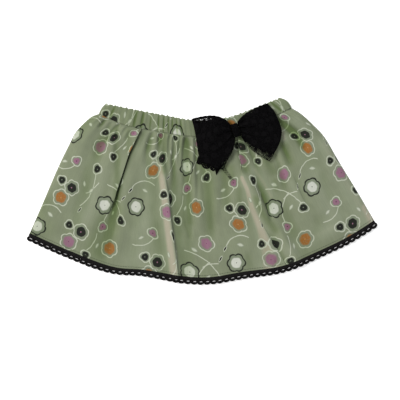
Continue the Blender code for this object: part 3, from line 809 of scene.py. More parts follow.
class PrintMotifs:
    """The node groups that draw the print's motifs over a ground colour."""

    EDGE_SOFTNESS = 0.00022  # metres
    STEM_HALF_WIDTH = 0.5
    RING_STRENGTH = 0.6
    BASE = (("Color", "Colour"), ("Vector", "Cloth, Place"))
    DRAWN = ("Color", "Colour")

    def __init__(self) -> None:
        """Builds the groups, each of which is placed many times."""
        self.repeat = self._repeat()
        self.flower = self._flower()
        self.stem = self._stem()
        self.leaf = self._leaf()

    def _repeat(self) -> Tree:
        """Builds the way from a place's nearest repeat to a point of the cloth.

        Returns:
            The group.
        """
        w = Wiring.new_group("half_drop_repeat", ("Vector", "Cloth, Place"), output=("Vector", "Way"))
        size = (REPEAT_WIDTH * MM, REPEAT_HEIGHT * MM, 1.0)
        away = w.vector("SUBTRACT", w.source["Cloth"], w.source["Place"])
        turns = w.vector("DIVIDE", away, size)
        column = w.math("ROUND", w.split(turns)[0])
        moved = w.vector("MULTIPLY_ADD", w.xyz(column, column, 0.0), (-1.0, -REPEAT_DROP, 0.0), turns)
        wrapped = w.vector("WRAP", moved, (0.5, 0.5, 0.5), (-0.5, -0.5, -0.5))
        return w.finish(w.vector("MULTIPLY", wrapped, (size[0], size[1], 0.0)))

    def _motif(self, name: str, *inputs: tuple[str, str]) -> tuple[Wiring, Socket]:
        """Starts a motif's group, with the way to the motif's nearest repeat."""
        w = Wiring.new_group(name, *self.BASE, *inputs, output=self.DRAWN)
        return w, w.group(self.repeat, Cloth=w.source["Cloth"], Place=w.source["Place"])

    def _flower(self) -> Tree:
        """Builds a lobed flower: a core with a dot, a ring round it and an outline.

        Returns:
            The group.
        """
        w, way = self._motif("print_flower",
                             ("Float", "Radius, Lobes, Depth, Turn, Core, Strength, Dot, Blur, Line"),
                             ("Color", "Core Colour, Ring Colour, Line Colour, Dot Colour"))
        s = w.source
        reach = w.vector("LENGTH", way)
        parts = w.split(way)
        angle = w.math("ARCTAN2", parts[1], parts[0])
        half_turns = w.math("MULTIPLY", s["Lobes"], 0.5)
        petals = w.math("COSINE", w.math("MULTIPLY_ADD", angle, half_turns, s["Turn"]))
        rounded = w.math("MULTIPLY_ADD", w.math("ABSOLUTE", petals), 2.4, -1.5)
        skew = w.math("SINE", w.math("MULTIPLY_ADD", angle, 2.0, s["Turn"]))
        wave = w.math("MULTIPLY_ADD", skew, 0.5, rounded)
        swell = w.math("MULTIPLY_ADD", wave, s["Depth"], 1.0)
        round_share = w.math("DIVIDE", reach, s["Radius"])
        share = w.math("DIVIDE", round_share, swell)
        core_share = w.math("MULTIPLY", w.math("ADD", round_share, share), 0.5)
        soft = w.math("DIVIDE", self.EDGE_SOFTNESS, s["Radius"])
        inside = w.ramp(share, w.math("ADD", 1.0, soft), w.math("SUBTRACT", 1.0, soft))
        colour = w.mix(w.math("MULTIPLY", inside, self.RING_STRENGTH), s["Colour"], s["Ring Colour"])
        beside = w.math("ABSOLUTE", w.math("SUBTRACT", share, 1.0))
        line = w.math("DIVIDE", s["Line"], s["Radius"])
        drawn = w.ramp(beside, w.math("ADD", line, soft), w.math("SUBTRACT", line, soft))
        colour = w.mix(drawn, colour, s["Line Colour"])
        outer, inner = (w.math(step, s["Core"], s["Blur"]) for step in ("ADD", "SUBTRACT"))
        cored = w.math("MULTIPLY", w.ramp(core_share, outer, inner), s["Strength"])
        colour = w.mix(cored, colour, s["Core Colour"])
        dotted = w.ramp(core_share, s["Dot"], w.math("MULTIPLY", s["Dot"], 0.5))
        return w.finish(w.mix(dotted, colour, s["Dot Colour"]))

    def _stem(self) -> Tree:
        """Builds an arc of a circle about its place.

        Returns:
            The group.
        """
        w, way = self._motif("print_stem", ("Float", "Radius, Middle, Half Span, Half Width"),
                             ("Color", "Line Colour"))
        s = w.source
        beside = w.math("ABSOLUTE", w.math("SUBTRACT", w.vector("LENGTH", way), s["Radius"]))
        parts = w.split(way)
        angle = w.math("SUBTRACT", w.math("ARCTAN2", parts[1], parts[0]), s["Middle"])
        past = w.math("ABSOLUTE", w.math("WRAP", angle, math.pi, -math.pi))
        width, span = s["Half Width"], s["Half Span"]
        on_line = w.ramp(beside, w.math("ADD", width, self.EDGE_SOFTNESS), w.math("MULTIPLY", width, 0.5))
        on_arc = w.ramp(past, w.math("ADD", span, 0.02), span)
        return w.finish(w.mix(w.math("MULTIPLY", on_line, on_arc), s["Colour"], s["Line Colour"]))

    def _leaf(self) -> Tree:
        """Builds a pointed leaf with an outline.

        Returns:
            The group.
        """
        w, way = self._motif("print_leaf", ("Vector", "Along, Aside"), ("Color", "Fill Colour, Line Colour"))
        along = w.vector("DOT_PRODUCT", way, w.source["Along"])
        aside = w.math("ABSOLUTE", w.vector("DOT_PRODUCT", way, w.source["Aside"]))
        share = w.math("MULTIPLY_ADD", along, along, aside)
        colour = w.mix(w.ramp(share, 1.9, 1.6), w.source["Colour"], w.source["Line Colour"])
        return w.finish(w.mix(w.ramp(share, 1.1, 0.9), colour, w.source["Fill Colour"]))

    def draw(self, w: Wiring, cloth: Socket, ground: Socket) -> Socket:
        """Lays the whole chart over the ground.

        Args:
            w: the tree to draw in.
            cloth: the place on the flat cloth, in metres.
            ground: the ground's colour.

        Returns:
            The printed colour.
        """
        colour = ground
        strength = w.ramp(w.noise(cloth, 520.0, 1.0), 0.30, 0.55, 0.74, 1.0)
        for stem in STEMS:
            colour = w.group(self.stem, Colour=colour, Cloth=cloth, Line_Colour=CREAM,
                             Half_Width=self.STEM_HALF_WIDTH * MM, **self._arc(stem))
        for leaves, fill, line in ((PALE_LEAVES, CREAM, PALE_GREEN), (DARK_LEAVES, CHARCOAL, CREAM)):
            for leaf in leaves:
                turn, long, wide = math.radians(leaf.turn), leaf.half_length * MM, leaf.half_width * MM
                colour = w.group(
                    self.leaf, Colour=colour, Cloth=cloth, Place=(leaf.x * MM, leaf.y * MM, 0.0),
                    Along=(math.cos(turn) / long, math.sin(turn) / long, 0.0),
                    Aside=(-math.sin(turn) / wide, math.cos(turn) / wide, 0.0),
                    Fill_Colour=fill, Line_Colour=line,
                )
        for flower in FLOWERS:
            core, edge, dot, core_share, dot_share, blur, line = flower.bloom.value
            colour = w.group(
                self.flower, Colour=colour, Cloth=cloth, Place=(flower.x * MM, flower.y * MM, 0.0),
                Radius=flower.radius * MM, Lobes=float(flower.lobes), Depth=flower.depth,
                Turn=flower.turn, Core=core_share, Strength=strength if blur > 0.1 else 1.0,
                Dot=dot_share, Blur=blur, Line=line / 2 * MM, Core_Colour=core,
                Ring_Colour=GREY_GREEN, Line_Colour=edge, Dot_Colour=dot,
            )
        return colour

    def _arc(self, stem: Stem) -> dict[str, object]:
        """Finds the circle through a stem's ends with its bow.

        Args:
            stem: the stem.

        Returns:
            The stem group's sizes for it.
        """
        start, end = np.array([stem.x0, stem.y0]), np.array([stem.x1, stem.y1])
        chord = end - start
        half = float(np.linalg.norm(chord)) / 2
        radius = (half * half + stem.bow * stem.bow) / (2 * abs(stem.bow))
        left = np.array([-chord[1], chord[0]]) / (2 * half) * math.copysign(1.0, stem.bow)
        centre = (start + end) / 2 - left * (radius - abs(stem.bow))
        return {"Place": (centre[0] * MM, centre[1] * MM, 0.0), "Radius": radius * MM,
                "Middle": math.atan2(left[1], left[0]), "Half_Span": math.asin(min(1.0, half / radius))}


def weave_group() -> Tree:
    """Builds threads that go over and under each other.

    Returns:
        The group, which gives their height, from 0 to 1, at a place in metres.
    """
    w = Wiring.new_group("weave", ("Vector", "Cloth"), ("Float", "Thread"), output=("Float", "Height"))
    thread = w.source["Thread"]
    turns = w.vector("DIVIDE", w.source["Cloth"], w.xyz(thread, thread, 1.0))
    waves = w.split(w.vector("SINE", w.vector("MULTIPLY", turns, (math.pi, math.pi, 0.0))))
    return w.finish(w.math("MULTIPLY_ADD", w.math("MULTIPLY", waves[0], waves[1]), 0.5, 0.5))


def lace_group() -> Tree:
    """Builds lace worked in net and small flowers.

    Returns:
        The group, which gives how much thread is at a place, from 0 to 1.
    """
    w = Wiring.new_group("lace", ("Vector", "Cloth"), ("Float", "Mesh, Flower"), output=("Float", "Thread"))
    meshes, repeats = (w.math("DIVIDE", 1.0, w.source[name]) for name in ("Mesh", "Flower"))
    cloth = w.source["Cloth"]
    net = w.node("ShaderNodeTexVoronoi", feature="DISTANCE_TO_EDGE", Vector=cloth, Scale=meshes)
    threads = w.ramp(net.outputs["Distance"], 0.16, 0.07)
    blooms = w.node("ShaderNodeTexVoronoi", feature="F1", Vector=cloth, Scale=repeats, Randomness=0.55)
    solid = w.ramp(blooms.outputs["Distance"], 0.44, 0.38)
    heart = w.ramp(blooms.outputs["Distance"], 0.10, 0.14)
    return w.finish(w.math("MAXIMUM", threads, w.math("MULTIPLY", solid, heart)))


def new_material(name: str) -> tuple[Material, Wiring, Node]:
    """Starts a material on an empty tree.

    Args:
        name: its name.

    Returns:
        The material, its wiring and its Principled shader.
    """
    material = bpy.data.materials.new(name)
    material.use_nodes = True
    return material, Wiring(material.node_tree), material.node_tree.nodes["Principled BSDF"]


def tinted(colour: Rgb, factor: float) -> Rgb:
    """A colour made lighter or darker."""
    return tuple(factor * c for c in colour)


@dataclass(frozen=True)
class PrintedCotton:
    """The printed plain-weave cotton, with painted highlights on its raised folds, painted shade in its
    hollows and a painted shadow under its pleats' edges.
    """

    motifs: PrintMotifs
    weave: Tree
    thread: float = 0.55  # millimetres between threads
    weave_height: float = 0.06  # millimetres
    wander: float = 0.9  # how far the print's lines stray from their curves, in millimetres
    light: Rgb = (0.262, 0.294, 0.212)  # painted highlight where the cloth stands up a little
    pale: Rgb = (0.345, 0.315, 0.240)  # a stronger painted highlight where it stands up most
    hollow: Rgb = (0.50, 0.61, 0.36)  # painted shade: times the colour in the deepest folds
    # the colour of the shadow painted under the pleats' edges
    gap: Rgb = (0.008, 0.011, 0.005)

    def material(self, name: str, start: tuple[float, float]) -> Material:
        """The finish of one cut piece.

        Args:
            name: the material's name.
            start: where the piece's corner lies on the printed cloth, in millimetres.

        Returns:
            The material.
        """
        material, w, shader = new_material(name)
        place = w.cloth()
        mottle = w.ramp(w.noise(place, 42.0, 3.0), 0.3, 0.75)
        ground = w.mix(mottle, tinted(GROUND_GREEN, 0.94), tinted(GROUND_GREEN, 1.07))
        # Painted highlight: paler where the cloth stands up into the light, palest where it stands up most.
        pale = w.attribute("pale")
        ground = w.mix(pale, ground, self.light)
        ground = w.mix(w.ramp(pale, 0.38, 0.70, 0.0, 0.78), ground, self.pale)
        centred = w.vector("SUBTRACT", w.noise(place, 160.0, 1.0, "Color"), (0.5, 0.5, 0.5))
        moved = w.vector("MULTIPLY_ADD", centred, (2 * self.wander * MM,) * 3, place)
        printed_at = w.vector("ADD", moved, (start[0] * MM, start[1] * MM, 0.0))
        colour = self.motifs.draw(w, printed_at, ground)
        woven = w.group(self.weave, Cloth=place, Thread=self.thread * MM)
        shade = w.math("MULTIPLY_ADD", woven, 0.08, 0.96)
        slubs = w.noise(w.vector("MULTIPLY", place, (900.0, 70.0, 1.0)), 1.0, 2.0)
        shade = w.math("MULTIPLY", shade, w.math("MULTIPLY_ADD", slubs, 0.22, 0.89))
        colour = w.mix(1.0, colour, w.out("ShaderNodeCombineColor", shade, shade, shade), "MULTIPLY")
        # Painted shade in the folds and hollows, then a darker painted shadow under the pleats' edges.
        hollow = w.attribute("hollow")
        colour = w.mix(hollow, colour, w.mix(1.0, colour, self.hollow, "MULTIPLY"))
        w.set(shader, Base_Color=w.mix(w.attribute("gap"), colour, self.gap),
              Normal=w.bump(woven, self.weave_height, 0.5), Roughness=0.85, Sheen_Weight=0.04,
              Sheen_Roughness=0.5, Specular_IOR_Level=0.15)
        return material


@dataclass(frozen=True)
class BlackThread:
    """Black cotton yarn, woven or looped."""

    weave: Tree
    name: str
    colour: Rgb
    pitch: float  # millimetres between its ribs

    def material(self) -> Material:
        """Makes the yarn's finish, with ribs and fuzz.

        Returns:
            The material.
        """
        material, w, shader = new_material(self.name)
        place = w.place()
        fuzz = w.noise(place, 1400.0, 2.0)
        w.set(shader, Base_Color=w.mix(w.ramp(fuzz, 0.4, 0.8), self.colour, tinted(self.colour, 2.6)))
        ribs = w.group(self.weave, Cloth=place, Thread=self.pitch * MM)
        relief = w.math("ADD", ribs, w.math("MULTIPLY", fuzz, 0.6))
        w.set(shader, Normal=w.bump(relief, 0.12, 0.7), Roughness=0.72, Specular_IOR_Level=0.02)
        return material


@dataclass(frozen=True)
class BlackLace:
    """Black lace ribbon: close in its middle, open net towards its scalloped edges."""

    lace: Tree
    name: str
    mesh: float = 1.5
    flower: float = 7.5
    colour: Rgb = (0.0011, 0.0011, 0.0012)
    thread_colour: Rgb = (0.0034, 0.0032, 0.0035)

    def material(self) -> Material:
        """Makes the lace's finish.

        The piece's attribute open says how far the net shows through, and past 1 its threads do too.

        Returns:
            The material.
        """
        material, w, shader = new_material(self.name)
        thread = w.group(self.lace, Cloth=w.cloth(), Mesh=self.mesh * MM, Flower=self.flower * MM)
        openness = w.attribute("open")
        opened = w.math("MINIMUM", openness, 1.0)
        holes = w.math("MULTIPLY", w.math("SUBTRACT", 1.0, thread), opened)
        sheer = w.math("SUBTRACT", openness, opened)
        w.set(shader, Base_Color=w.mix(thread, self.colour, self.thread_colour),
              Alpha=w.math("SUBTRACT", 1.0, w.math("ADD", holes, sheer), clamp=True),
              Normal=w.bump(thread, 0.25, 0.8), Roughness=0.7, Specular_IOR_Level=0.02)
        return material


@dataclass(frozen=True)
class SewingThread:
    """A plain sewing thread."""

    name: str
    colour: Rgb

    def material(self) -> Material:
        """Makes the thread's finish, with a little fuzz.

        Returns:
            The material.
        """
        material, w, shader = new_material(self.name)
        fuzz = w.noise(w.place(), 2200.0, 1.0)
        w.set(shader, Base_Color=w.mix(fuzz, self.colour, tinted(self.colour, 1.7)),
              Roughness=0.6, Specular_IOR_Level=0.4)
        return material


@dataclass(frozen=True)
class PaperFloor:
    """The plain pale floor, a sheet that is lit from below as well."""

    colour: Rgb = (0.88, 0.88, 0.88)
    glow: float = 0.45

    def material(self) -> Material:
        """Makes a matt finish with the faintest grain.

        Returns:
            The material.
        """
        material, w, shader = new_material("floor_paper")
        grain = w.noise(w.place(), 12.0, 2.0)
        w.set(shader, Base_Color=w.mix(grain, tinted(self.colour, 0.985), self.colour), Roughness=0.9,
              Specular_IOR_Level=0.1, Emission_Strength=self.glow, Emission_Color=(1.0, 1.0, 1.0, 1.0))
        return material


# --- The panels ---


@dataclass
class FrontPanel:
    """The front panel: gathered at the waistband, with its folds running to the hem."""

    material: Material
    columns: int = 424
    rows: int = 108
    cloth: float = 0.35
    tucked_level: float = 4.0  # of its gathered edge, under the waistband
    side_level: float = 0.55  # where it meets the back panel at the side seams
    side_roll: float = 2.6
    steep_weight: float = 1.0
    gap_shadow_reach: float = 2.0  # how far out from under a pleat's edge the painted shadow reaches
    dense: tuple[tuple[float, float, float], ...] = ((0.228, 0.022, 1.5), (0.40, 0.03, 0.5))
    side_columns: tuple[float, ...] = (0.0, 0.0007, 0.0016, 0.0028, 0.0044, 0.0064, 0.0088)
    inner_columns: tuple[float, float] = (0.0115, 0.9885)  # where those between them start and end
    waist_crowding: float = 0.055  # how much closer the rows are at the waist
    sewn_reach: float = 0.045  # the share down over which the cloth leaves the band's seam
    run_rows: int = 37  # how many rows share a cloth run, so that the print isn't torn
    unevenness: tuple[tuple[float, float, float], ...] = ((0.30, 46.0, 1.7), (0.16, 19.0, 5.2))

    def shares(self) -> tuple[Grid, Grid]:
        """Sets out the grid, closer together at the sides and at the waist.

        Returns:
            Each point's shares across and down.
        """
        edge = np.array(self.side_columns)
        even = np.linspace(*self.inner_columns, CURVE_SAMPLES)
        dense = 1 + sum(more * bell((even - at) / reach) for at, reach, more in self.dense)
        run = np.cumsum(dense) - dense[0]
        inner = np.interp(np.linspace(0, run[-1], self.columns - 2 * len(edge) + 1), run, even)
        across = np.concatenate([edge, inner, 1 - edge[::-1]])
        t = np.linspace(0, 1, self.rows + 1)
        return np.meshgrid(across, t - self.waist_crowding * np.sin(2 * np.pi * t) * (1 - t))

    def folds(self, across: Grid, down: Grid) -> tuple[Grid, Grid]:
        """Works out the soft folds.

        Args:
            across: shares of the way across.
            down: shares of the way down.

        Returns:
            Their height, and how far they push the cloth to the right.
        """
        height, push = np.zeros_like(across), np.zeros_like(across)
        width = panel_width(down)
        for fold in FOLDS:
            centre = fold.at_seam + (fold.at_hem - fold.at_seam) * down
            rise = smooth(fold.start - 0.02, fold.start + FOLD_FADE, down)
            fade = 1 - smooth(fold.finish - FOLD_FADE, fold.finish + 0.02, down)
            swell = fold.height * rise * fade * bell((across - centre) * width / fold.reach)
            height += swell
            push += fold.lean * swell
        return height, push

    def gathers(self, across: Grid, down: Grid, phase: Grid) -> Grid:
        """Works out the small gathers under the band, and the creases that run on from some.

        Args:
            across: shares of the way across.
            down: shares of the way down.
            phase: the places across, counted in gathers.

        Returns:
            Their height.
        """
        height = GATHER_HEIGHT * 0.55 * gather_wave(phase) * (1 - smooth(0.05, 0.17, down))
        merged = np.cos(np.pi * phase + 0.8) * smooth(0.05, 0.14, down)
        height += merged * MERGED_HEIGHT * (1 - smooth(0.20, 0.48, down))
        width = panel_width(down)
        for g in GATHER_CREASES:
            centre = g.at + g.drift * down / g.length
            away = (across - centre) * width / (g.reach * (1 + 1.2 * down))
            fade = 1 - smooth(0.35 * g.length, g.length, down)
            height += g.depth * fade * (0.35 * bell(np.abs(away) - 1.9) - bell(away))
        return height

    def creases(self, plan: Grid) -> Grid:
        """Works out the short creases and the cloth's slow unevenness.

        Args:
            plan: the points in plan.

        Returns:
            Their height.
        """
        x, y = plan[..., 0], plan[..., 1]
        height = sum(rise * drift_noise(x, y, length, seed) for rise, length, seed in self.unevenness)
        for c in CREASES:
            off, t = from_segment(plan, (c.x0, c.y0), (c.x1, c.y1))
            height += c.height * (0.55 + 0.45 * np.sin(np.pi * t)) * bell(off / c.reach)
        return height

    def pleated(self, points: Grid) -> tuple[Grid, Grid]:
        """Lays the overlapping folds into the cloth.

        Args:
            points: the cloth without them.

        Returns:
            The cloth with them, and how dark a shadow is painted under their edges.
        """
        made, gap_shadows = points.copy(), np.zeros(points.shape[:2])
        x, y = points[..., 0], points[..., 1]
        for pleat in PLEATS:
            edge_x, edge_y = np.array(pleat.line)[::-1].T
            t = np.linspace(0, 1.2, 240)
            overhang = pleat.reach * max(0.0, (pleat.tuck * t * bell(t) - t).max())
            slant = np.interp(y, edge_y, np.gradient(edge_x, edge_y))
            square = 1 / np.sqrt(1 + slant * slant)
            t = ((x - np.interp(y, edge_y, edge_x)) * square + pleat.side * overhang) / pleat.reach
            top, bottom = edge_y[-1], edge_y[0]
            fade = np.ones_like(y)
            if bottom > PLEAT_RUNS_ON_BELOW:
                fade = smooth(bottom, bottom + 1.6 * PLEAT_FADE, y)
            if top < PLEAT_RUNS_ON_ABOVE:
                fade *= 1 - smooth(top - PLEAT_FADE, top, y)
            curl = t * bell(t) * fade
            made[..., 0] -= pleat.tuck * pleat.reach * curl * square
            made[..., 1] += pleat.tuck * pleat.reach * curl * square * slant
            made[..., 2] -= pleat.side * pleat.drop * curl
            # A shadow is painted under each edge, where the cloth tucked beneath would lie in shade.
            beyond = made[..., 0] - np.interp(made[..., 1], edge_y, edge_x)
            dark = bell(beyond * square / self.gap_shadow_reach) * (t * pleat.side > 0.45)
            length = top - bottom
            dark *= smooth(bottom + 0.04 * length, bottom + 0.34 * length, y) * fade
            dark *= 1 - 0.5 * smooth(top - 0.42 * length, top - 0.2 * length, y)
            gap_shadows = np.maximum(gap_shadows, pleat.gap * dark)
        return made, gap_shadows

    def surface(self) -> tuple[Grid, Grid]:
        """Shapes the outer face.

        Returns:
            Its points, in millimetres, and how dark a shadow is painted under the pleats' edges.
        """
        across, down = self.shares()
        counted = np.linspace(0, GATHERS, CURVE_SAMPLES)
        phase = np.interp(across, across_of_phase(counted), counted)
        plan = cloth_plan(across, down)
        folds, push = self.folds(across, down)
        height = LOFT_AT_HEM + (LOFT_AT_WAIST - LOFT_AT_HEM) * (1 - down) ** 2 + folds
        height += self.gathers(across, down, phase) + self.creases(plan)
        height = (height + np.sqrt(height * height + REST_SOFTNESS)) / 2
        sewn = SEAM_LEVEL + 0.5 * RUFFLE_HEIGHT * gather_wave(phase)
        height = sewn + (height - sewn) * smooth(0.0, self.sewn_reach, down)
        inwards = inwards_of(across, down)
        height *= np.sin(np.pi / 2 * np.minimum(1.0, inwards / SIDE_ROUND))
        level = BACK_WALL + GAP + height + FRONT_WALL
        tucked = self.tucked_level + 0.4 * gather_wave(phase)
        level = tucked + (level - tucked) * smooth(-0.01, 0.02, down)
        plan[..., 0] += push * smooth(0.0, 0.1, down)
        points, gap_shadows = self.pleated(raised(plan, level))
        roll = np.sqrt(np.clip(1 - (1 - inwards / self.side_roll) ** 2, 0, 1))
        roll = np.where(inwards < self.side_roll, roll, 1.0)
        points[..., 2] = self.side_level + (np.maximum(points[..., 2], 1.2) - self.side_level) * roll
        return points, gap_shadows

    def stretches(self, points: Grid, table: Sequence[Stretch]) -> Grid:
        """Works out where a table's painted highlights or painted shade colour the cloth.

        Args:
            points: the cloth.
            table: the stretches.

        Returns:
            How strongly they do, from 0 to 1.
        """
        most = np.zeros(points.shape[:2])
        for line, above, below, strength in table:
            top, bottom = line[0][1], line[-1][1]
            down = np.clip((top - points[..., 1]) / (top - bottom), 0, 1)
            reach = above + (below - above) * down**2
            for start, end in zip(line[:-1], line[1:]):
                off, _ = from_segment(points, start, end)
                most = np.maximum(most, strength * bell(off / reach))
        return most

    def hollow(self, points: Grid) -> Grid:
        """Works out the shade painted into the folds, by comparing each place with the cloth round it.

        Args:
            points: the cloth.

        Returns:
            How strongly shade is painted there, from 0 to 1: by how far it lies below, or by the painted
            shade lines where they are stronger.
        """
        across, _ = self.shares()
        even = np.linspace(0, 1, 400)
        level = np.array([np.interp(even, row, heights) for row, heights in zip(across, points[..., 2])])
        depth = np.zeros_like(level)
        for reach in SHADE_HOLLOW_REACHES:
            columns, rows = 2 * round(reach) + 1, 2 * round(reach / 3) + 1
            around = smooth_rows(smooth_rows(level, rows).T, columns).T
            depth = np.maximum(depth, around - level)
        depth = np.array([np.interp(row, even, values) for row, values in zip(across, depth)])
        inwards = np.minimum(points[..., 0] - points[:, :1, 0], points[:, -1:, 0] - points[..., 0])
        hollow = np.clip(depth / SHADE_HOLLOW_DEPTH, 0, 1) * smooth(3, 16, inwards)
        return np.maximum(hollow, self.stretches(points, SHADES))

    def build(self) -> Object:
        """Makes the panel's shell.

        Returns:
            The piece.
        """
        points, gap_shadows = self.surface()
        runs = run_lengths(points, self.steep_weight)
        along = smooth_rows(runs / runs[:, -1:], self.run_rows) * CUT_WIDTH
        aside = (1 - self.shares()[1]) * CUT_HEIGHT
        mesh = ClothMesh("front_panel_cloth", self.material)
        # The mesh carries the painted highlight, the painted shade and the painted pleat shadow that its
        # material reads.
        mesh.add_grid(points, along, aside, pale=self.stretches(points, PAINTED_HIGHLIGHTS),
                      hollow=self.hollow(points), gap=gap_shadows)
        return mesh.build(Slot.COTTON, "front_panel", self.cloth)


@dataclass
class BackPanel:
    """The back panel, flat under the front one, with its printed face down."""

    material: Material
    columns: int = 150
    rows: int = 56
    cloth: float = 0.35
    unevenness: float = 0.16  # how high its slow waves are, how long, and which ones
    wavelength: float = 38.0
    seed: float = 3.1
    flat_edge: float = 12.0  # how far in from its sides they start

    def build(self) -> Object:
        """Makes the panel's shell, which lies on the surface.

        Returns:
            The piece.
        """
        across, down = np.meshgrid(np.linspace(0, 1, self.columns + 1), np.linspace(0, 1, self.rows + 1))
        plan = cloth_plan(across, down)
        uneven = self.unevenness * (1 + drift_noise(plan[..., 0], plan[..., 1], self.wavelength, self.seed))
        points = raised(plan, uneven * smooth(0, self.flat_edge, inwards_of(across, down)))
        mesh = ClothMesh("back_panel_cloth", self.material)
        mesh.add_grid(points, (1 - across) * CUT_WIDTH, (1 - down) * CUT_HEIGHT, flip=(1,))
        return mesh.build(Slot.COTTON, "back_panel", self.cloth)


BAND_CREASES = (
    (0.055, 1.5, 0.5), (0.180, 1.3, 0.8), (0.218, 1.3, 0.9), (0.262, 1.0, 0.4), (0.304, 0.9, 0.6),
    (0.332, 0.9, 0.7), (0.356, 0.9, 0.6), (0.378, 0.9, 0.7), (0.402, 0.9, 0.5), (0.425, 0.9, 0.6),
    (0.655, 1.0, 0.7), (0.690, 1.0, 0.6), (0.905, 1.2, 0.6), (0.945, 1.3, 0.7),
)  # each a share across, a width and a depth in millimetres


@dataclass
class WaistbandHalf:
    """Half of the waistband: a strip folded over an elastic, which draws it into small puckers."""

    side: Side
    material: Material
    columns: int = 440
    face_rows: int = 12
    fold_rows: int = 5
    cloth: float = 0.35
    height: float = 17.5
    cut_width: float = 290.0
    top_turn: float = 0.045  # the folded top edge's share of the height
    pucker: float = 0.26  # how far the narrow puckers stand out
    left_bulge: float = 0.9  # how far its ends round out past their straight lines
    right_bulge: float = 2.7
    overhang: float = 0.9  # how far its lower edge lies over the gathered panel

    def puckers(self, across: Grid, down: Grid) -> Grid:
        """Works out narrow uneven puckers, strongest at the edges of the elastic.

        Args:
            across: shares of the way across.
            down: shares of the way down.

        Returns:
            How far they stand out, up to 1.
        """
        turn = 2 * np.pi * (across * 61 + 0.9 * np.sin(across * 23.0) + 0.5 * np.sin(across * 51.0 + 2.0))
        strength = 0.15 + 0.85 * smooth(0.20, 0.30, across) * (0.7 + 0.3 * np.sin(across * 37.0))
        ridge = (0.5 + 0.5 * np.cos(turn + 1.4 * np.sin(3.0 * down + across * 19.0))) ** 1.6
        ridge = ridge * strength * (0.6 + 0.4 * np.cos(2 * np.pi * down))
        for place, width, depth in BAND_CREASES:
            away = (across - place - 0.004 * down) * SEAM.length / width
            ridge = ridge - depth / self.pucker * bell(away) * np.sin(np.pi * (0.1 + 0.8 * down))
        return ridge

    def profile(self) -> tuple[np.ndarray, np.ndarray]:
        """Sets out the strip's run over the top edge.

        Returns:
            Its shares down the band, and 1 on the face to -1 on the lining.
        """
        face = np.linspace(1.0, self.top_turn, self.face_rows, endpoint=False)
        lining = np.linspace(self.top_turn, 1.0, self.face_rows + 1)[1:]
        turn = np.linspace(0, np.pi, self.fold_rows)
        down = np.concatenate([face, self.top_turn * (1 - np.sin(turn)), lining])
        layer = np.concatenate([np.ones(len(face)), np.cos(turn), -np.ones(len(lining))])
        return down, layer

    def surface(self) -> tuple[Grid, Grid]:
        """Shapes the strip's outer side.

        Returns:
            Its points, and their shares across.
        """
        share, layer = self.profile()
        across, down = np.meshgrid(np.linspace(0, 1, self.columns + 1), share)
        phase = across * GATHERS
        top, seam = BAND_TOP.at(across), SEAM.at(across)
        ruffle = RUFFLE_EDGE * (gather_wave(phase) + 0.5 * np.sin(across * 380.0)) * (1 - down) ** 2
        reach = down * (1 + self.overhang / self.height)
        plan = top + (seam - top) * reach[..., None] - BAND_TOP.out(across) * ruffle[..., None]
        plan += self.rounding(across, down)
        full = 0.55 + 0.45 * np.sin(np.pi * np.clip(0.08 + 0.84 * down, 0, 1))
        tuck = smooth(0, 1, np.minimum(across, 1 - across) * SEAM.length / TUCK_REACH)
        middle = BAND_WALL + RUFFLE_HEIGHT + GAP / 2
        rise = (BAND_WALL + RUFFLE_HEIGHT * (0.6 + 0.22 * gather_wave(phase))) * full
        rise = rise * (0.2 + 0.8 * tuck) + self.pucker * self.puckers(across, down) * tuck
        near, outwards = GAP / 2 + 0.1, 0.5 + 0.5 * layer[:, None]
        if self.side is Side.FRONT:
            return raised(plan, middle + near + (rise - near) * outwards), across
        far = (middle - 0.45) * (0.25 + 0.75 * tuck)
        return raised(plan, middle - near - (far - near) * outwards), across

    def rounding(self, across: Grid, down: Grid) -> Grid:
        """Rounds out the band's two ends.

        Args:
            across: shares of the way across.
            down: shares of the way down.

        Returns:
            How far each point moves in plan.
        """
        moves = np.zeros((*across.shape, 2))
        for end, bulge in ((0.0, self.left_bulge), (1.0, self.right_bulge)):
            side = SEAM.at(end) - BAND_TOP.at(end)
            out = np.array([side[1], -side[0]]) / np.linalg.norm(side) * (1 if end == 0 else -1)
            near = bell((across - end) * SEAM.length / 7.0)
            shape = np.sin(np.pi * np.clip(down, 0, 1)) * bulge - 0.5 * (1 - down) ** 6
            moves += out * (near * shape)[..., None]
        return moves

    def build(self) -> Object:
        """Makes this half's casing.

        Returns:
            The piece.
        """
        points, across = self.surface()
        # Painted shade: the band a little darker all over, and darker between its puckers.
        hollow = np.clip(0.30 - 0.45 * self.puckers(across, self.profile()[0][:, None]), 0, 1)
        rows = np.linspace(0, 2 * self.height, len(points))[:, None]
        flip = (0,) if self.side is Side.FRONT else (0, 1)
        mesh = ClothMesh(f"waistband_{self.side.value}_casing", self.material)
        mesh.add_grid(points, across * self.cut_width, rows, flip=flip, hollow=hollow)
        return mesh.build(Slot.COTTON, f"waistband_{self.side.value}", self.cloth)


# --- What repeats along the hem, made by Geometry Nodes ---


def new_repeater(name: str, sizes: str) -> Wiring:
    """Starts a tree that sets many small pieces along a line, which spread() finishes.

    Args:
        name: the tree's name.
        sizes: the names of its sizes, besides the line, count, seed, wobble and finish.

    Returns:
        The tree's wiring.
    """
    return Wiring.new_group(
        name, ("Geometry", "Line"), ("Int", "Count, Seed"), ("Float", f"Wobble, {sizes}"),
        ("Material", "Finish"), output=("Geometry", "Pieces"), kind="GeometryNodeTree",
    )


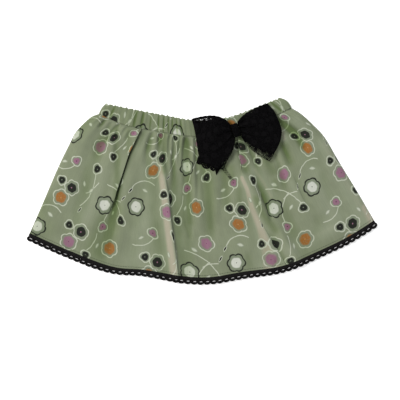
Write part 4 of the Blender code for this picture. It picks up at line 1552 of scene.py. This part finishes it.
def spread(w: Wiring, piece: Socket) -> Tree:
    """Sets a small piece along the line, facing along it, each a little differently turned.

    Args:
        w: the tree's wiring.
        piece: the small piece's geometry, along X.

    Returns:
        The finished tree, which ends in real faces with the finish on them.
    """
    line = w.out("GeometryNodeMeshToCurve", Mesh=w.source["Line"])
    points = w.out("GeometryNodeResampleCurve", Curve=line, Count=w.source["Count"])
    tangent = w.out("GeometryNodeInputTangent")
    facing = w.out("FunctionNodeAlignRotationToVector", axis="X", pivot_axis="Z", Vector=tangent)
    placed = w.out("GeometryNodeInstanceOnPoints", Points=points, Instance=piece, Rotation=facing)
    chance = w.node("FunctionNodeRandomValue", data_type="FLOAT", Seed=w.source["Seed"])
    w.feed(chance.inputs[2], w.math("MULTIPLY", w.source["Wobble"], -1.0))
    w.feed(chance.inputs[3], w.source["Wobble"])
    turn = w.xyz(X=chance.outputs[1], Z=chance.outputs[1])
    turned = w.out("GeometryNodeRotateInstances", Instances=placed, Rotation=turn, Local_Space=True)
    real = w.out("GeometryNodeRealizeInstances", Geometry=turned)
    return w.finish(w.out("GeometryNodeSetMaterial", Geometry=real, Material=w.source["Finish"]))


def bake_along(name: str, slot: Slot, line: Grid, tree: Tree, **sizes: object) -> Object:
    """Runs a repeater's tree on a line and keeps its result as a plain mesh.

    Args:
        name: the piece's name.
        slot: its material slot.
        line: the points of the line, in the tables' millimetres.
        tree: the finished tree.
        sizes: values for its inputs, which are named with spaces for underscores.

    Returns:
        The piece.
    """
    mesh = bpy.data.meshes.new(name)
    edges = [(i, i + 1) for i in range(len(line) - 1)]
    mesh.from_pydata(((line + SHIFT) * MM).tolist(), edges, [])
    obj = new_object(name, mesh)
    modifier = obj.modifiers.new("repeat", "NODES")
    modifier.node_group = tree
    keys = {item.name: item.identifier for item in tree.interface.items_tree if item.in_out == "INPUT"}
    for title, value in sizes.items():
        modifier[keys[title.replace("_", " ")]] = value
    graph = bpy.context.evaluated_depsgraph_get()
    baked = bpy.data.meshes.new_from_object(obj.evaluated_get(graph), depsgraph=graph)
    obj.modifiers.remove(modifier)
    obj.data = baked
    baked.name = name
    return as_piece(obj, slot)


def loop_tree() -> Tree:
    """Builds slanted yarn loops, side by side on a line and thicker at their lower ends.

    Returns:
        The tree.
    """
    w = new_repeater("yarn_loops", "Half Width, Half Height, Half Yarn, Taper, Flatness, Slant, Tilt, Drop")
    s = w.source
    ring = w.out("GeometryNodeCurvePrimitiveCircle", mode="RADIUS", Resolution=14, Radius=1.0)
    height = w.split(w.out("GeometryNodeInputPosition"))[1]
    thickness = w.math("MULTIPLY_ADD", height, w.math("MULTIPLY", s["Taper"], -1.0), 1.0)
    shaped = w.out("GeometryNodeSetCurveRadius", Curve=ring, Radius=thickness)
    sizes = w.xyz(s["Half Width"], s["Half Height"], 1.0)
    oval = w.out("GeometryNodeTransform", Geometry=shaped, Scale=sizes)
    yarn = w.out("GeometryNodeCurvePrimitiveCircle", mode="RADIUS", Resolution=6, Radius=s["Half Yarn"])
    tube = w.out("GeometryNodeCurveToMesh", Curve=oval, Profile_Curve=yarn)
    pressed = w.out("GeometryNodeTransform", Geometry=tube, Scale=w.xyz(1.0, 1.0, s["Flatness"]))
    turn = w.xyz(X=s["Tilt"], Z=s["Slant"])
    down = w.xyz(Y=w.math("MULTIPLY", s["Drop"], -1.0))
    hung = w.out("GeometryNodeTransform", Geometry=pressed, Rotation=turn, Translation=down)
    return spread(w, w.out("GeometryNodeSetShadeSmooth", Geometry=hung))


def stitch_tree() -> Tree:
    """Builds short stitches in a row.

    Returns:
        The tree.
    """
    w = new_repeater("stitch_row", "Stitch, Thread")
    half_thread = w.math("MULTIPLY", w.source["Thread"], 0.5)
    rod = w.out("GeometryNodeMeshCylinder", fill_type="NGON", Vertices=6, Side_Segments=3,
                Radius=half_thread, Depth=w.source["Stitch"])
    along = w.out("GeometryNodeTransform", Geometry=rod, Rotation=(0.0, math.pi / 2, 0.0))
    return spread(w, w.out("GeometryNodeSetShadeSmooth", Geometry=along))


TRIM_SAG = ((0.0, 0.5), (0.19, 0.5), (0.30, -0.8), (0.42, 0.1), (0.56, 0.1), (0.69, -0.2), (0.81, -0.4),
            (1.0, -0.1))  # how far below its usual place each stretch of loops hangs


@dataclass
class HemTrim:
    """The trim on one panel's hem: a woven edge with a row of yarn loops below it."""

    side: Side
    woven: Material
    yarn: Material
    tree: Tree
    cloth_rows: Grid | None = None  # the front panel's points, which the trim is sewn on
    columns: int = 400
    above: float = 2.6  # how far its woven edge reaches over the cloth
    below: float = 1.0
    thickness: float = 0.9
    loop_half_width: float = 3.0  # of the yarn's middle line
    loop_half_height: float = 2.0
    half_yarn: float = 1.2
    taper: float = 0.6
    flatness: float = 0.55
    drop: float = 2.5  # from the hem's edge to a loop's middle
    cord_drop: float = 3.4  # from the hem's edge to the cord that runs behind the loops
    cord_half: tuple[float, float] = (0.75, 0.42)
    slant: float = 9.0  # degrees
    tilt: float = 8.0
    band_sides: int = 16
    cord_sides: int = 8
    rib: float = 1.4  # the pitch of the woven edge's ribs
    rib_height: float = 0.05
    lift: float = 0.06  # off the cloth

    def cloth_level(self, across: Grid, above: Grid) -> Grid:
        """Finds how high the front cloth lies.

        Args:
            across: shares of the way across.
            above: how far above the hem, in millimetres.

        Returns:
            The levels, which are 0 where there is no front cloth.
        """
        if self.cloth_rows is None:
            return np.zeros_like(across)
        points, hem = self.cloth_rows, self.cloth_rows[-1]
        step = np.linalg.norm(points[:, :, :2] - hem[None, :, :2], axis=2).mean(axis=1)
        order = np.argsort(step)[:6]
        runs = np.concatenate([[0], np.cumsum(np.linalg.norm(np.diff(hem[:, :2], axis=0), axis=1))])
        rows = [np.interp(across, runs / runs[-1], points[row, :, 2]) for row in order]
        far = step[order]
        level = np.zeros_like(across)
        for low in range(len(far) - 1):
            t = np.clip((above - far[low]) / (far[low + 1] - far[low]), 0, 1)
            inside = (above >= far[low]) | (low == 0)
            level = np.where(inside, rows[low] + (rows[low + 1] - rows[low]) * t, level)
        return level

    def band(self) -> Object:
        """Makes the woven edge, a low domed strip, with the cord behind its loops.

        Returns:
            The piece.
        """
        turn = np.linspace(0, 2 * np.pi, self.band_sides, endpoint=False)
        middle, half = (self.above - self.below) / 2, (self.above + self.below) / 2
        across, angle = np.meshgrid(np.linspace(0, 1, self.columns + 1), turn, indexing="ij")
        above = middle + half * squared(np.cos(angle), 0.55)
        if self.side is Side.BACK:
            above = np.minimum(above, -0.2)
        under = self.cloth_level(across, np.maximum(above, 0.0))
        top = np.maximum(under, self.cloth_level(across, np.zeros_like(across)) - 0.2)
        ribs = self.rib_height * np.sin(across * HEM.length * 2 * np.pi / self.rib)
        body = 0.5 * self.thickness * (1 + squared(np.sin(angle), 0.7))
        level = top + self.lift + body + ribs * (body > 0.4)
        plan = HEM.at(across) - HEM.out(across) * above[..., None]
        mesh = ClothMesh(f"hem_trim_{self.side.value}_band", self.woven)
        mesh.add_grid(raised(plan, level), across * HEM.length, above, closed=True, flip=(0,))
        cord = self.cord()
        run = HEM.length * np.linspace(0, 1, len(cord))[:, None]
        mesh.add_grid(cord, run, np.zeros_like(run), closed=True, flip=(0,))
        return mesh.build(Slot.TRIM, f"hem_trim_{self.side.value}")

    def loop_line(self, share: Grid) -> tuple[Grid, Grid]:
        """Places the line that the loops hang from.

        Args:
            share: shares along the hem.

        Returns:
            Its places in plan, and its level.
        """
        lowest = self.half_yarn * (1 + self.taper) * self.flatness + 0.4
        level = np.maximum(self.cloth_level(share, np.zeros_like(share)) * 0.9, lowest)
        sag = np.interp(share, *np.array(TRIM_SAG).T)
        return HEM.at(share) + HEM.out(share) * sag[..., None], level

    def cord(self) -> Grid:
        """Shapes the cord behind the loops' lower ends, which joins each one to the next.

        Returns:
            Its points.
        """
        share, turn = np.meshgrid(np.linspace(0.004, 0.996, self.columns + 1),
                                  np.linspace(0, 2 * np.pi, self.cord_sides, endpoint=False), indexing="ij")
        plan, level = self.loop_line(share)
        out = self.cord_drop - self.cord_half[0] * np.cos(turn)
        level = level - 0.3 + self.cord_half[1] * np.sin(turn)
        return raised(plan + HEM.out(share) * out[..., None], level)

    def loops(self) -> Object:
        """Makes the row of loops below the woven edge.

        Returns:
            The piece.
        """
        ends = 0.5 / TRIM_LOOPS
        plan, level = self.loop_line(np.linspace(ends, 1 - ends, 300))
        return bake_along(
            f"hem_trim_{self.side.value}_loops", Slot.TRIM, raised(plan, level), self.tree,
            Count=TRIM_LOOPS, Seed=7, Wobble=0.10, Finish=self.yarn, Flatness=self.flatness,
            Half_Width=self.loop_half_width * MM, Half_Height=self.loop_half_height * MM,
            Half_Yarn=self.half_yarn * MM, Taper=self.taper, Slant=math.radians(self.slant),
            Tilt=math.radians(self.tilt), Drop=self.drop * MM,
        )


@dataclass
class HemStitching:
    """The line of stitches that holds the hem up, just above the trim."""

    material: Material
    tree: Tree
    trim: HemTrim
    above: float = 4.7
    stitch: float = 2.1
    pitch: float = 2.8
    thread: float = 0.42

    def build(self) -> Object:
        """Makes the row of stitches on the front cloth.

        Returns:
            The piece.
        """
        share = np.linspace(0.004, 0.996, 900)
        level = self.trim.cloth_level(share, np.full_like(share, self.above)) + self.trim.lift
        plan = HEM.at(share) - HEM.out(share) * self.above
        return bake_along(
            "hem_stitches", Slot.COTTON, raised(plan, level), self.tree,
            Count=round(HEM.length / self.pitch), Seed=3, Wobble=0.06, Finish=self.material,
            Stitch=self.stitch * MM, Thread=self.thread * MM,
        )


# --- The bow ---

KNOT_TOP = (34.5, 73.8)
KNOT_BOTTOM = (39.4, 59.8)
KNOT_HALF_WIDTH = 4.3
LOOP_END = 0.04
LOOP_PUFF = 3.2
PINCH_HEIGHT = 1.1
PINCH_FOLDS = 3
PEEK_START = 0.5
RIBBON_WIDTH = 52.0


class Opening(NamedTuple):
    """Where the lace's net shows through: on the lower layer (-1), the upper (1) or both (0)."""

    layer: int
    across: float
    reach: float
    start: float
    finish: float
    amount: float


class LoopShape(NamedTuple):
    """A bow loop's plan, as in the part's source. side is -1 for the left one."""

    name: str
    side: int
    outer: Line
    top_bulge: float
    bottom_bulge: float
    peek: tuple[float, float]
    openings: tuple[Opening, ...]


LEFT_LOOP = LoopShape(
    "left", -1,
    ((-11.2, 79.4), (-7.8, 66.0), (-5.6, 53.0), (-3.6, 40.4), (-0.6, 33.0), (7.4, 30.2), (14.4, 27.6),
     (21.4, 28.2)),
    7.6, 4.0, (-0.4, -3.4),
    (Opening(0, 0.062, 0.034, 0.40, 0.92, 1.0), Opening(-1, 0.98, 0.10, 0.40, 1.0, 1.0),
     Opening(1, 0.99, 0.03, 0.30, 1.0, 0.9)),
)
RIGHT_LOOP = LoopShape(
    "right", 1,
    ((71.0, 96.4), (78.6, 87.4), (83.6, 76.6), (86.8, 65.4), (84.8, 53.6), (77.8, 40.2)),
    3.8, 4.4, (-4.0, -7.4),
    (Opening(0, 0.055, 0.026, 0.38, 0.64, 0.9), Opening(-1, 0.98, 0.22, 0.15, 1.0, 1.22)),
)


def knot_fullness(along: Grid) -> Grid:
    """The knot's width over its full one, from -1 at its top end to 1 at its bottom end."""
    return 0.76 + 0.24 * np.sqrt(np.clip(1 - 0.96 * along * along, 0, 1))


def knot_side(share: Grid, side: int, apart: float = 0.0) -> Grid:
    """Places points along one side of the knot.

    Args:
        share: shares of the way down the knot.
        side: -1 for its left side, and 1 for its right one.
        apart: how far off it they stand.

    Returns:
        The points in plan.
    """
    top = np.array(KNOT_TOP)
    axis = np.array(KNOT_BOTTOM) - top
    square = np.array([-axis[1], axis[0]]) / np.linalg.norm(axis)
    share = np.asarray(share, float)[..., None]
    half = KNOT_HALF_WIDTH * knot_fullness(2 * share - 1)
    return top + axis * share + square * side * (half + apart)


@dataclass
class BowLoop:
    """One loop of the bow: lace ribbon that goes out from the knot and comes back below."""

    shape: LoopShape
    material: Material
    steps_across: int = 90
    steps_out: int = 56
    turn_steps: int = 7
    cloth: float = 0.3
    scallop: float = 0.45
    scallops: int = 8
    spacing: float = 0.85  # below 1, its steps out are closer together at the tip
    least_open: float = 0.04

    def plan(self, out: Grid, across: Grid, peek: Grid) -> Grid:
        """Places points of the loop in plan.

        Args:
            out: shares out from the knot.
            across: shares across the ribbon.
            peek: 1 on the layer that shows past the other one's edge, and 0 on the other.

        Returns:
            The points.
        """
        start = knot_side(LOOP_END + (1 - 2 * LOOP_END) * across, self.shape.side, GAP)
        peeking = (peek * smooth(PEEK_START, 1, across))[..., None]
        end = Outline(self.shape.outer).at(across) + np.array(self.shape.peek) * peeking
        along = unit(end - start)
        square = np.stack([-along[..., 1], along[..., 0]], axis=-1) * self.shape.side
        edge = np.maximum(smooth(0.06, 0.0, across), smooth(0.94, 1.0, across))
        notch = np.abs(np.sin(np.pi * self.scallops * out)) ** 0.6 - 1
        scallops = self.scallop * notch * edge * smooth(0.05, 0.3, out)
        bulge = self.shape.top_bulge * (1 - across) ** 2 - self.shape.bottom_bulge * across**2
        bulge = bulge * np.sin(np.pi * out**0.75) + scallops * np.where(across < 0.5, 1, -1)
        return start + (end - start) * out[..., None] + square * bulge[..., None]

    def heights(self, out: Grid, across: Grid) -> tuple[Grid, Grid]:
        """Works out how high the loop's two layers stand.

        Args:
            out: shares out from the knot.
            across: shares across the ribbon.

        Returns:
            The lower and the upper layer's heights over what the loop lies on.
        """
        fine = 0.6 * np.cos(2 * np.pi * 7 * across + 0.9) + 0.4 * np.cos(2 * np.pi * 11 * across + 2.0)
        pinch = PINCH_HEIGHT * (1 - out) ** 2 * np.cos(2 * np.pi * PINCH_FOLDS * across)
        pinch += 0.45 * fine * bell(out / 0.45)
        soft = 0.45 * np.sin(4.1 * across + 3.0 * out) + 0.25 * np.sin(9.0 * across - 5.0 * out + 1.0)
        full = LOOP_PUFF * np.sin(np.pi * np.minimum(1.0, out * 0.86)) ** 0.7 + 0.4
        edge = 0.40 + 0.60 * np.sin(np.pi * (0.06 + 0.88 * across))
        lower = PINCH_HEIGHT + RIBBON_WALL / 2 + pinch
        return lower, lower + RIBBON_WALL + full * edge + soft * np.sin(np.pi * out)

    def openness(self, out: Grid, across: Grid, layer: Grid) -> Grid:
        """Works out how open the lace is.

        Args:
            out: shares out from the knot.
            across: shares across the ribbon.
            layer: 1 on the upper layer to -1 on the lower one.

        Returns:
            How much of the net is open, from 0 to 1, and past 1 where its threads are sheer too.
        """
        most = np.full_like(across, self.least_open)
        for o in self.shape.openings:
            here = bell((across - o.across) / o.reach) * (o.layer * layer >= 0)
            here = here * smooth(o.start - 0.1, o.start + 0.1, out)
            here = here * (1 - smooth(o.finish, o.finish + 0.1, out))
            most = np.maximum(most, o.amount * here)
        return most * smooth(0.0, 0.014, np.minimum(across, 1 - across))

    def build(self) -> Object:
        """Makes the loop.

        Returns:
            The piece.
        """
        name = f"bow_loop_{self.shape.name}"
        shares = np.linspace(0, 1, self.steps_out + 1) ** self.spacing
        turn = np.linspace(0, np.pi, self.turn_steps + 2)[1:-1]
        out = np.concatenate([shares, np.ones(len(turn)), shares[::-1]])
        layer = np.concatenate([np.ones(len(shares)), np.cos(turn), -np.ones(len(shares))])
        across, out = np.meshgrid(np.linspace(0, 1, self.steps_across + 1), out)
        layer = np.broadcast_to(layer[:, None], across.shape)
        plan = self.plan(out, across, 0.5 - 0.5 * layer)
        tip, back = (self.plan(far, across, out * 0.5) for far in (np.ones_like(out), out * 0 + 0.9))
        low, high = self.heights(out, across)
        radius = (high - low) / 2
        bend = np.sqrt(np.clip(1 - layer * layer, 0, 1))
        plan = plan + unit(tip - back) * ((bend - 0.8 * smooth(0.5, 1.0, out)) * radius)[..., None]
        points = raised(plan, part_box(name)[0][2] / MM + (high + low) / 2 + layer * radius)
        run = run_lengths(points.transpose(1, 0, 2)).T
        mesh = ClothMesh(f"bow_{self.shape.name}_loop", self.material)
        mesh.add_grid(points, run, across * RIBBON_WIDTH, flip=(1,) if self.shape.side > 0 else (),
                      open=self.openness(out, across, layer))
        return mesh.build(Slot.LACE, name, self.cloth)


@dataclass
class BowKnot:
    """The band of ribbon wrapped round the bow's middle, with its folds along the wrap."""

    material: Material
    rings: int = 40
    sides: int = 72
    squareness: float = 0.6
    cloth: float = 0.3
    folds: tuple[float, ...] = (0.28, 0.47, 0.70)  # as shares across
    fold_reach: float = 0.05
    fold_depth: float = 0.7
    ribbon_step: float = 4.0  # of flat ribbon for each radian round the knot
    ribbon_length: float = 14.0

    def build(self) -> Object:
        """Makes the knot, as a closed form with folded ribbon round it.

        Returns:
            The piece.
        """
        low, high = (corner[2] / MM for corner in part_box("bow_knot"))
        share, turn = np.meshgrid(np.linspace(0, 1, self.rings + 1),
                                  np.linspace(0, 2 * np.pi, self.sides, endpoint=False), indexing="ij")
        left, right = knot_side(share, -1), knot_side(share, 1)
        tall = (high - low) * knot_fullness(2 * share - 1)
        sideways, upwards = (squared(wave(turn), self.squareness) for wave in (np.cos, np.sin))
        place = 0.5 + 0.5 * sideways
        places = [place - fold + 0.03 * np.sin(5 * share) for fold in self.folds]
        groove = self.fold_depth * sum(bell(away / self.fold_reach) for away in places)
        level = low + tall * (1 + upwards) / 2 - groove * (upwards > 0) * np.abs(upwards)
        plan = (left + right) / 2 + (right - left) / 2 * sideways[..., None]
        mesh = ClothMesh("bow_knot_ribbon", self.material)
        mesh.add_grid(raised(plan, level), turn * self.ribbon_step, share * self.ribbon_length,
                      closed=True, flip=(0,), open=np.zeros_like(share))
        return mesh.build(Slot.LACE, "bow_knot", self.cloth)


@dataclass
class LaceEdge:
    """A strip of the ribbon's open edge that shows past a loop, with scallops along it."""

    name: str
    material: Material
    cloth_points: Grid  # the front panel's, which it lies on
    line: Line
    depth: float
    scallops: int
    open_from: float  # how open the net is at its start
    open_to: float
    taper: float = 0.3
    lift: float = 0.45
    cloth: float = 0.25
    steps_along: int = 120
    steps_aside: int = 10

    def level_under(self, plan: Grid) -> Grid:
        """Finds how high the front cloth lies.

        Args:
            plan: points in plan.

        Returns:
            The cloth's level near each.
        """
        tree = KDTree(self.cloth_points[..., 0].size)
        for i, (x, y, _) in enumerate(self.cloth_points.reshape(-1, 3)):
            tree.insert((x, y, 0.0), i)
        tree.balance()
        levels = self.cloth_points[..., 2].reshape(-1)
        near = [max(levels[i] for _, i, _ in tree.find_n((x, y, 0.0), 4)) for x, y in plan.reshape(-1, 2)]
        return np.array(near).reshape(plan.shape[:2])

    def build(self) -> Object:
        """Makes the strip, which hangs to the right of its line as it is walked.

        Returns:
            The piece.
        """
        edge = Outline(self.line)
        along, aside = np.meshgrid(np.linspace(0, 1, self.steps_along + 1),
                                   np.linspace(0, 1, self.steps_aside + 1), indexing="ij")
        bump = np.abs(np.sin(np.pi * self.scallops * along)) ** 0.7 if self.scallops else 1.0
        full = np.minimum(1, np.minimum(along, 1 - along) / self.taper)
        depth = self.depth * (0.62 + 0.38 * bump) * np.clip(full, 0.08, 1)
        plan = edge.at(along) + edge.out(along) * (depth * aside)[..., None]
        level = self.level_under(plan) + self.lift
        level = (level + smooth_rows(level, 5)) / 2
        rim = smooth(0.78, 0.92, aside) * 0.8 if self.scallops else 0.0
        openness = (self.open_from + (self.open_to - self.open_from) * along) * (1 - rim)
        mesh = ClothMesh(self.name, self.material)
        mesh.add_grid(raised(plan, level), along * edge.length, aside * self.depth, flip=(0,), open=openness)
        return mesh.build(Slot.LACE, thickness=self.cloth, offset=0.0)


LACE_EDGES = {
    "fringe": (((-4.6, 39.0), (2.5, 33.0), (12.0, 29.4), (18.0, 28.6)), 6.9, 3, 0.4, 1.0, 0.16),
    "tip": (((12.0, 30.5), (23.0, 28.8)), 12.0, 1, 0.35, 0.45, 0.5),
    "tail": (((22.6, 29.4), (26.6, 24.2), (35.6, 12.4)), 3.6, 0, 1.6, 1.75, 0.12),
}  # each one's line, depth, scallops, openness at both ends and taper


# --- The studio ---


@dataclass
class Studio:
    """A pale floor, soft light and a camera straight above, framed as the photograph is."""

    middle: tuple[float, float] = (-2.2, -9.35)  # the view's middle, in the tables' millimetres
    view_width: float = 440.0
    distance: float = 1.25
    sensor: float = 36.0
    floor_half: float = 3.0  # metres
    floor_level: float = -0.0003  # metres

    def floor(self) -> None:
        """A plain floor just under the skirt."""
        half, level = self.floor_half, self.floor_level
        mesh = bpy.data.meshes.new("floor")
        corners = [(-half, -half, level), (half, -half, level), (half, half, level), (-half, half, level)]
        mesh.from_pydata(corners, [], [(0, 1, 2, 3)])
        mesh.materials.append(PaperFloor().material())
        new_object("floor", mesh)

    def light(self, name: str, place: tuple[float, float, float], size: float, power: float,
              colour: Rgb) -> None:
        """Sets up a soft square light that faces the skirt.

        Args:
            name: its name.
            place: where it stands, in metres.
            size: its width, in metres.
            power: its power, in watts.
            colour: its colour.
        """
        data = bpy.data.lights.new(name, "AREA")
        data.shape = "SQUARE"
        data.size = size
        data.energy = power
        data.color = colour
        obj = new_object(name, data)
        obj.location = place
        obj.rotation_euler = (-obj.location).to_track_quat("-Z", "Y").to_euler()

    def lights(self) -> None:
        """The sky light, a soft key from above on the left, and a low warm light on the left."""
        world = bpy.data.worlds.new("studio")
        world.use_nodes = True
        background = world.node_tree.nodes["Background"]
        background.inputs["Color"].default_value = (0.97, 0.99, 1.0, 1.0)
        background.inputs["Strength"].default_value = 0.42
        bpy.context.scene.world = world
        self.light("key", (-1.8, 1.2, 2.9), 1.3, 106.0, (1.0, 0.99, 0.97))
        self.light("top", (0.2, -0.1, 1.7), 1.2, 4.0, (1.0, 1.0, 1.0))
        self.light("warm", (-2.6, -0.7, 0.72), 1.0, 15.0, (1.0, 0.76, 0.68))

    def camera(self) -> None:
        """The camera, straight above."""
        data = bpy.data.cameras.new("camera")
        data.sensor_width = self.sensor
        data.lens = self.sensor * self.distance / (self.view_width * MM)
        data.clip_start, data.clip_end = 0.05, 10.0
        obj = new_object("camera", data)
        x, y = (np.array(self.middle) + SHIFT[:2]) * MM
        obj.location = (x, y, self.distance)
        bpy.context.scene.camera = obj

    def build(self) -> None:
        """Sets up the whole studio."""
        self.floor()
        self.lights()
        self.camera()
        settings = bpy.context.scene.view_settings
        settings.view_transform = "Standard"
        settings.look = "None"


def build_skirt() -> None:
    """Builds the skirt from the panels up to the bow."""
    motifs, weave, lace = PrintMotifs(), weave_group(), lace_group()
    cotton = PrintedCotton(motifs, weave)
    front_cotton = cotton.material("printed_cotton_front", (0.0, 0.0))
    back_cotton = cotton.material("printed_cotton_back", (37.0, 21.0))
    band_cotton = cotton.material("printed_cotton_band", (12.0, 68.0))
    woven = BlackThread(weave, "trim_woven", (0.0070, 0.0066, 0.0066), 0.8).material()
    yarn = BlackThread(weave, "trim_yarn", (0.0056, 0.0052, 0.0054), 0.6).material()
    ribbon = BlackLace(lace, "bow_lace_ribbon").material()
    hem_thread = SewingThread("hem_thread", (0.035, 0.045, 0.025)).material()

    panel = FrontPanel(front_cotton)
    front = panel.build()
    back = BackPanel(back_cotton).build()
    front_band = WaistbandHalf(Side.FRONT, band_cotton).build()
    back_band = WaistbandHalf(Side.BACK, band_cotton).build()
    loops = loop_tree()
    surface, _ = panel.surface()
    front_trim = HemTrim(Side.FRONT, woven, yarn, loops, surface)
    back_trim = HemTrim(Side.BACK, woven, yarn, loops)
    on_front = [front_trim.band(), front_trim.loops()]
    on_back = [back_trim.band(), back_trim.loops()]
    on_front.append(HemStitching(hem_thread, stitch_tree(), front_trim).build())
    left = BowLoop(LEFT_LOOP, ribbon).build()
    right = BowLoop(RIGHT_LOOP, ribbon, scallops=7).build()
    knot = BowKnot(ribbon).build()
    edges = [LaceEdge(f"bow_edge_{name}", ribbon, surface, *sizes).build()
             for name, sizes in LACE_EDGES.items()]


def main() -> None:
    """Builds the skirt and the studio."""
    logging.basicConfig(level=logging.INFO, format="%(name)s: %(message)s")
    build_skirt()
    Studio().build()


if __name__ == "__main__":
    main()
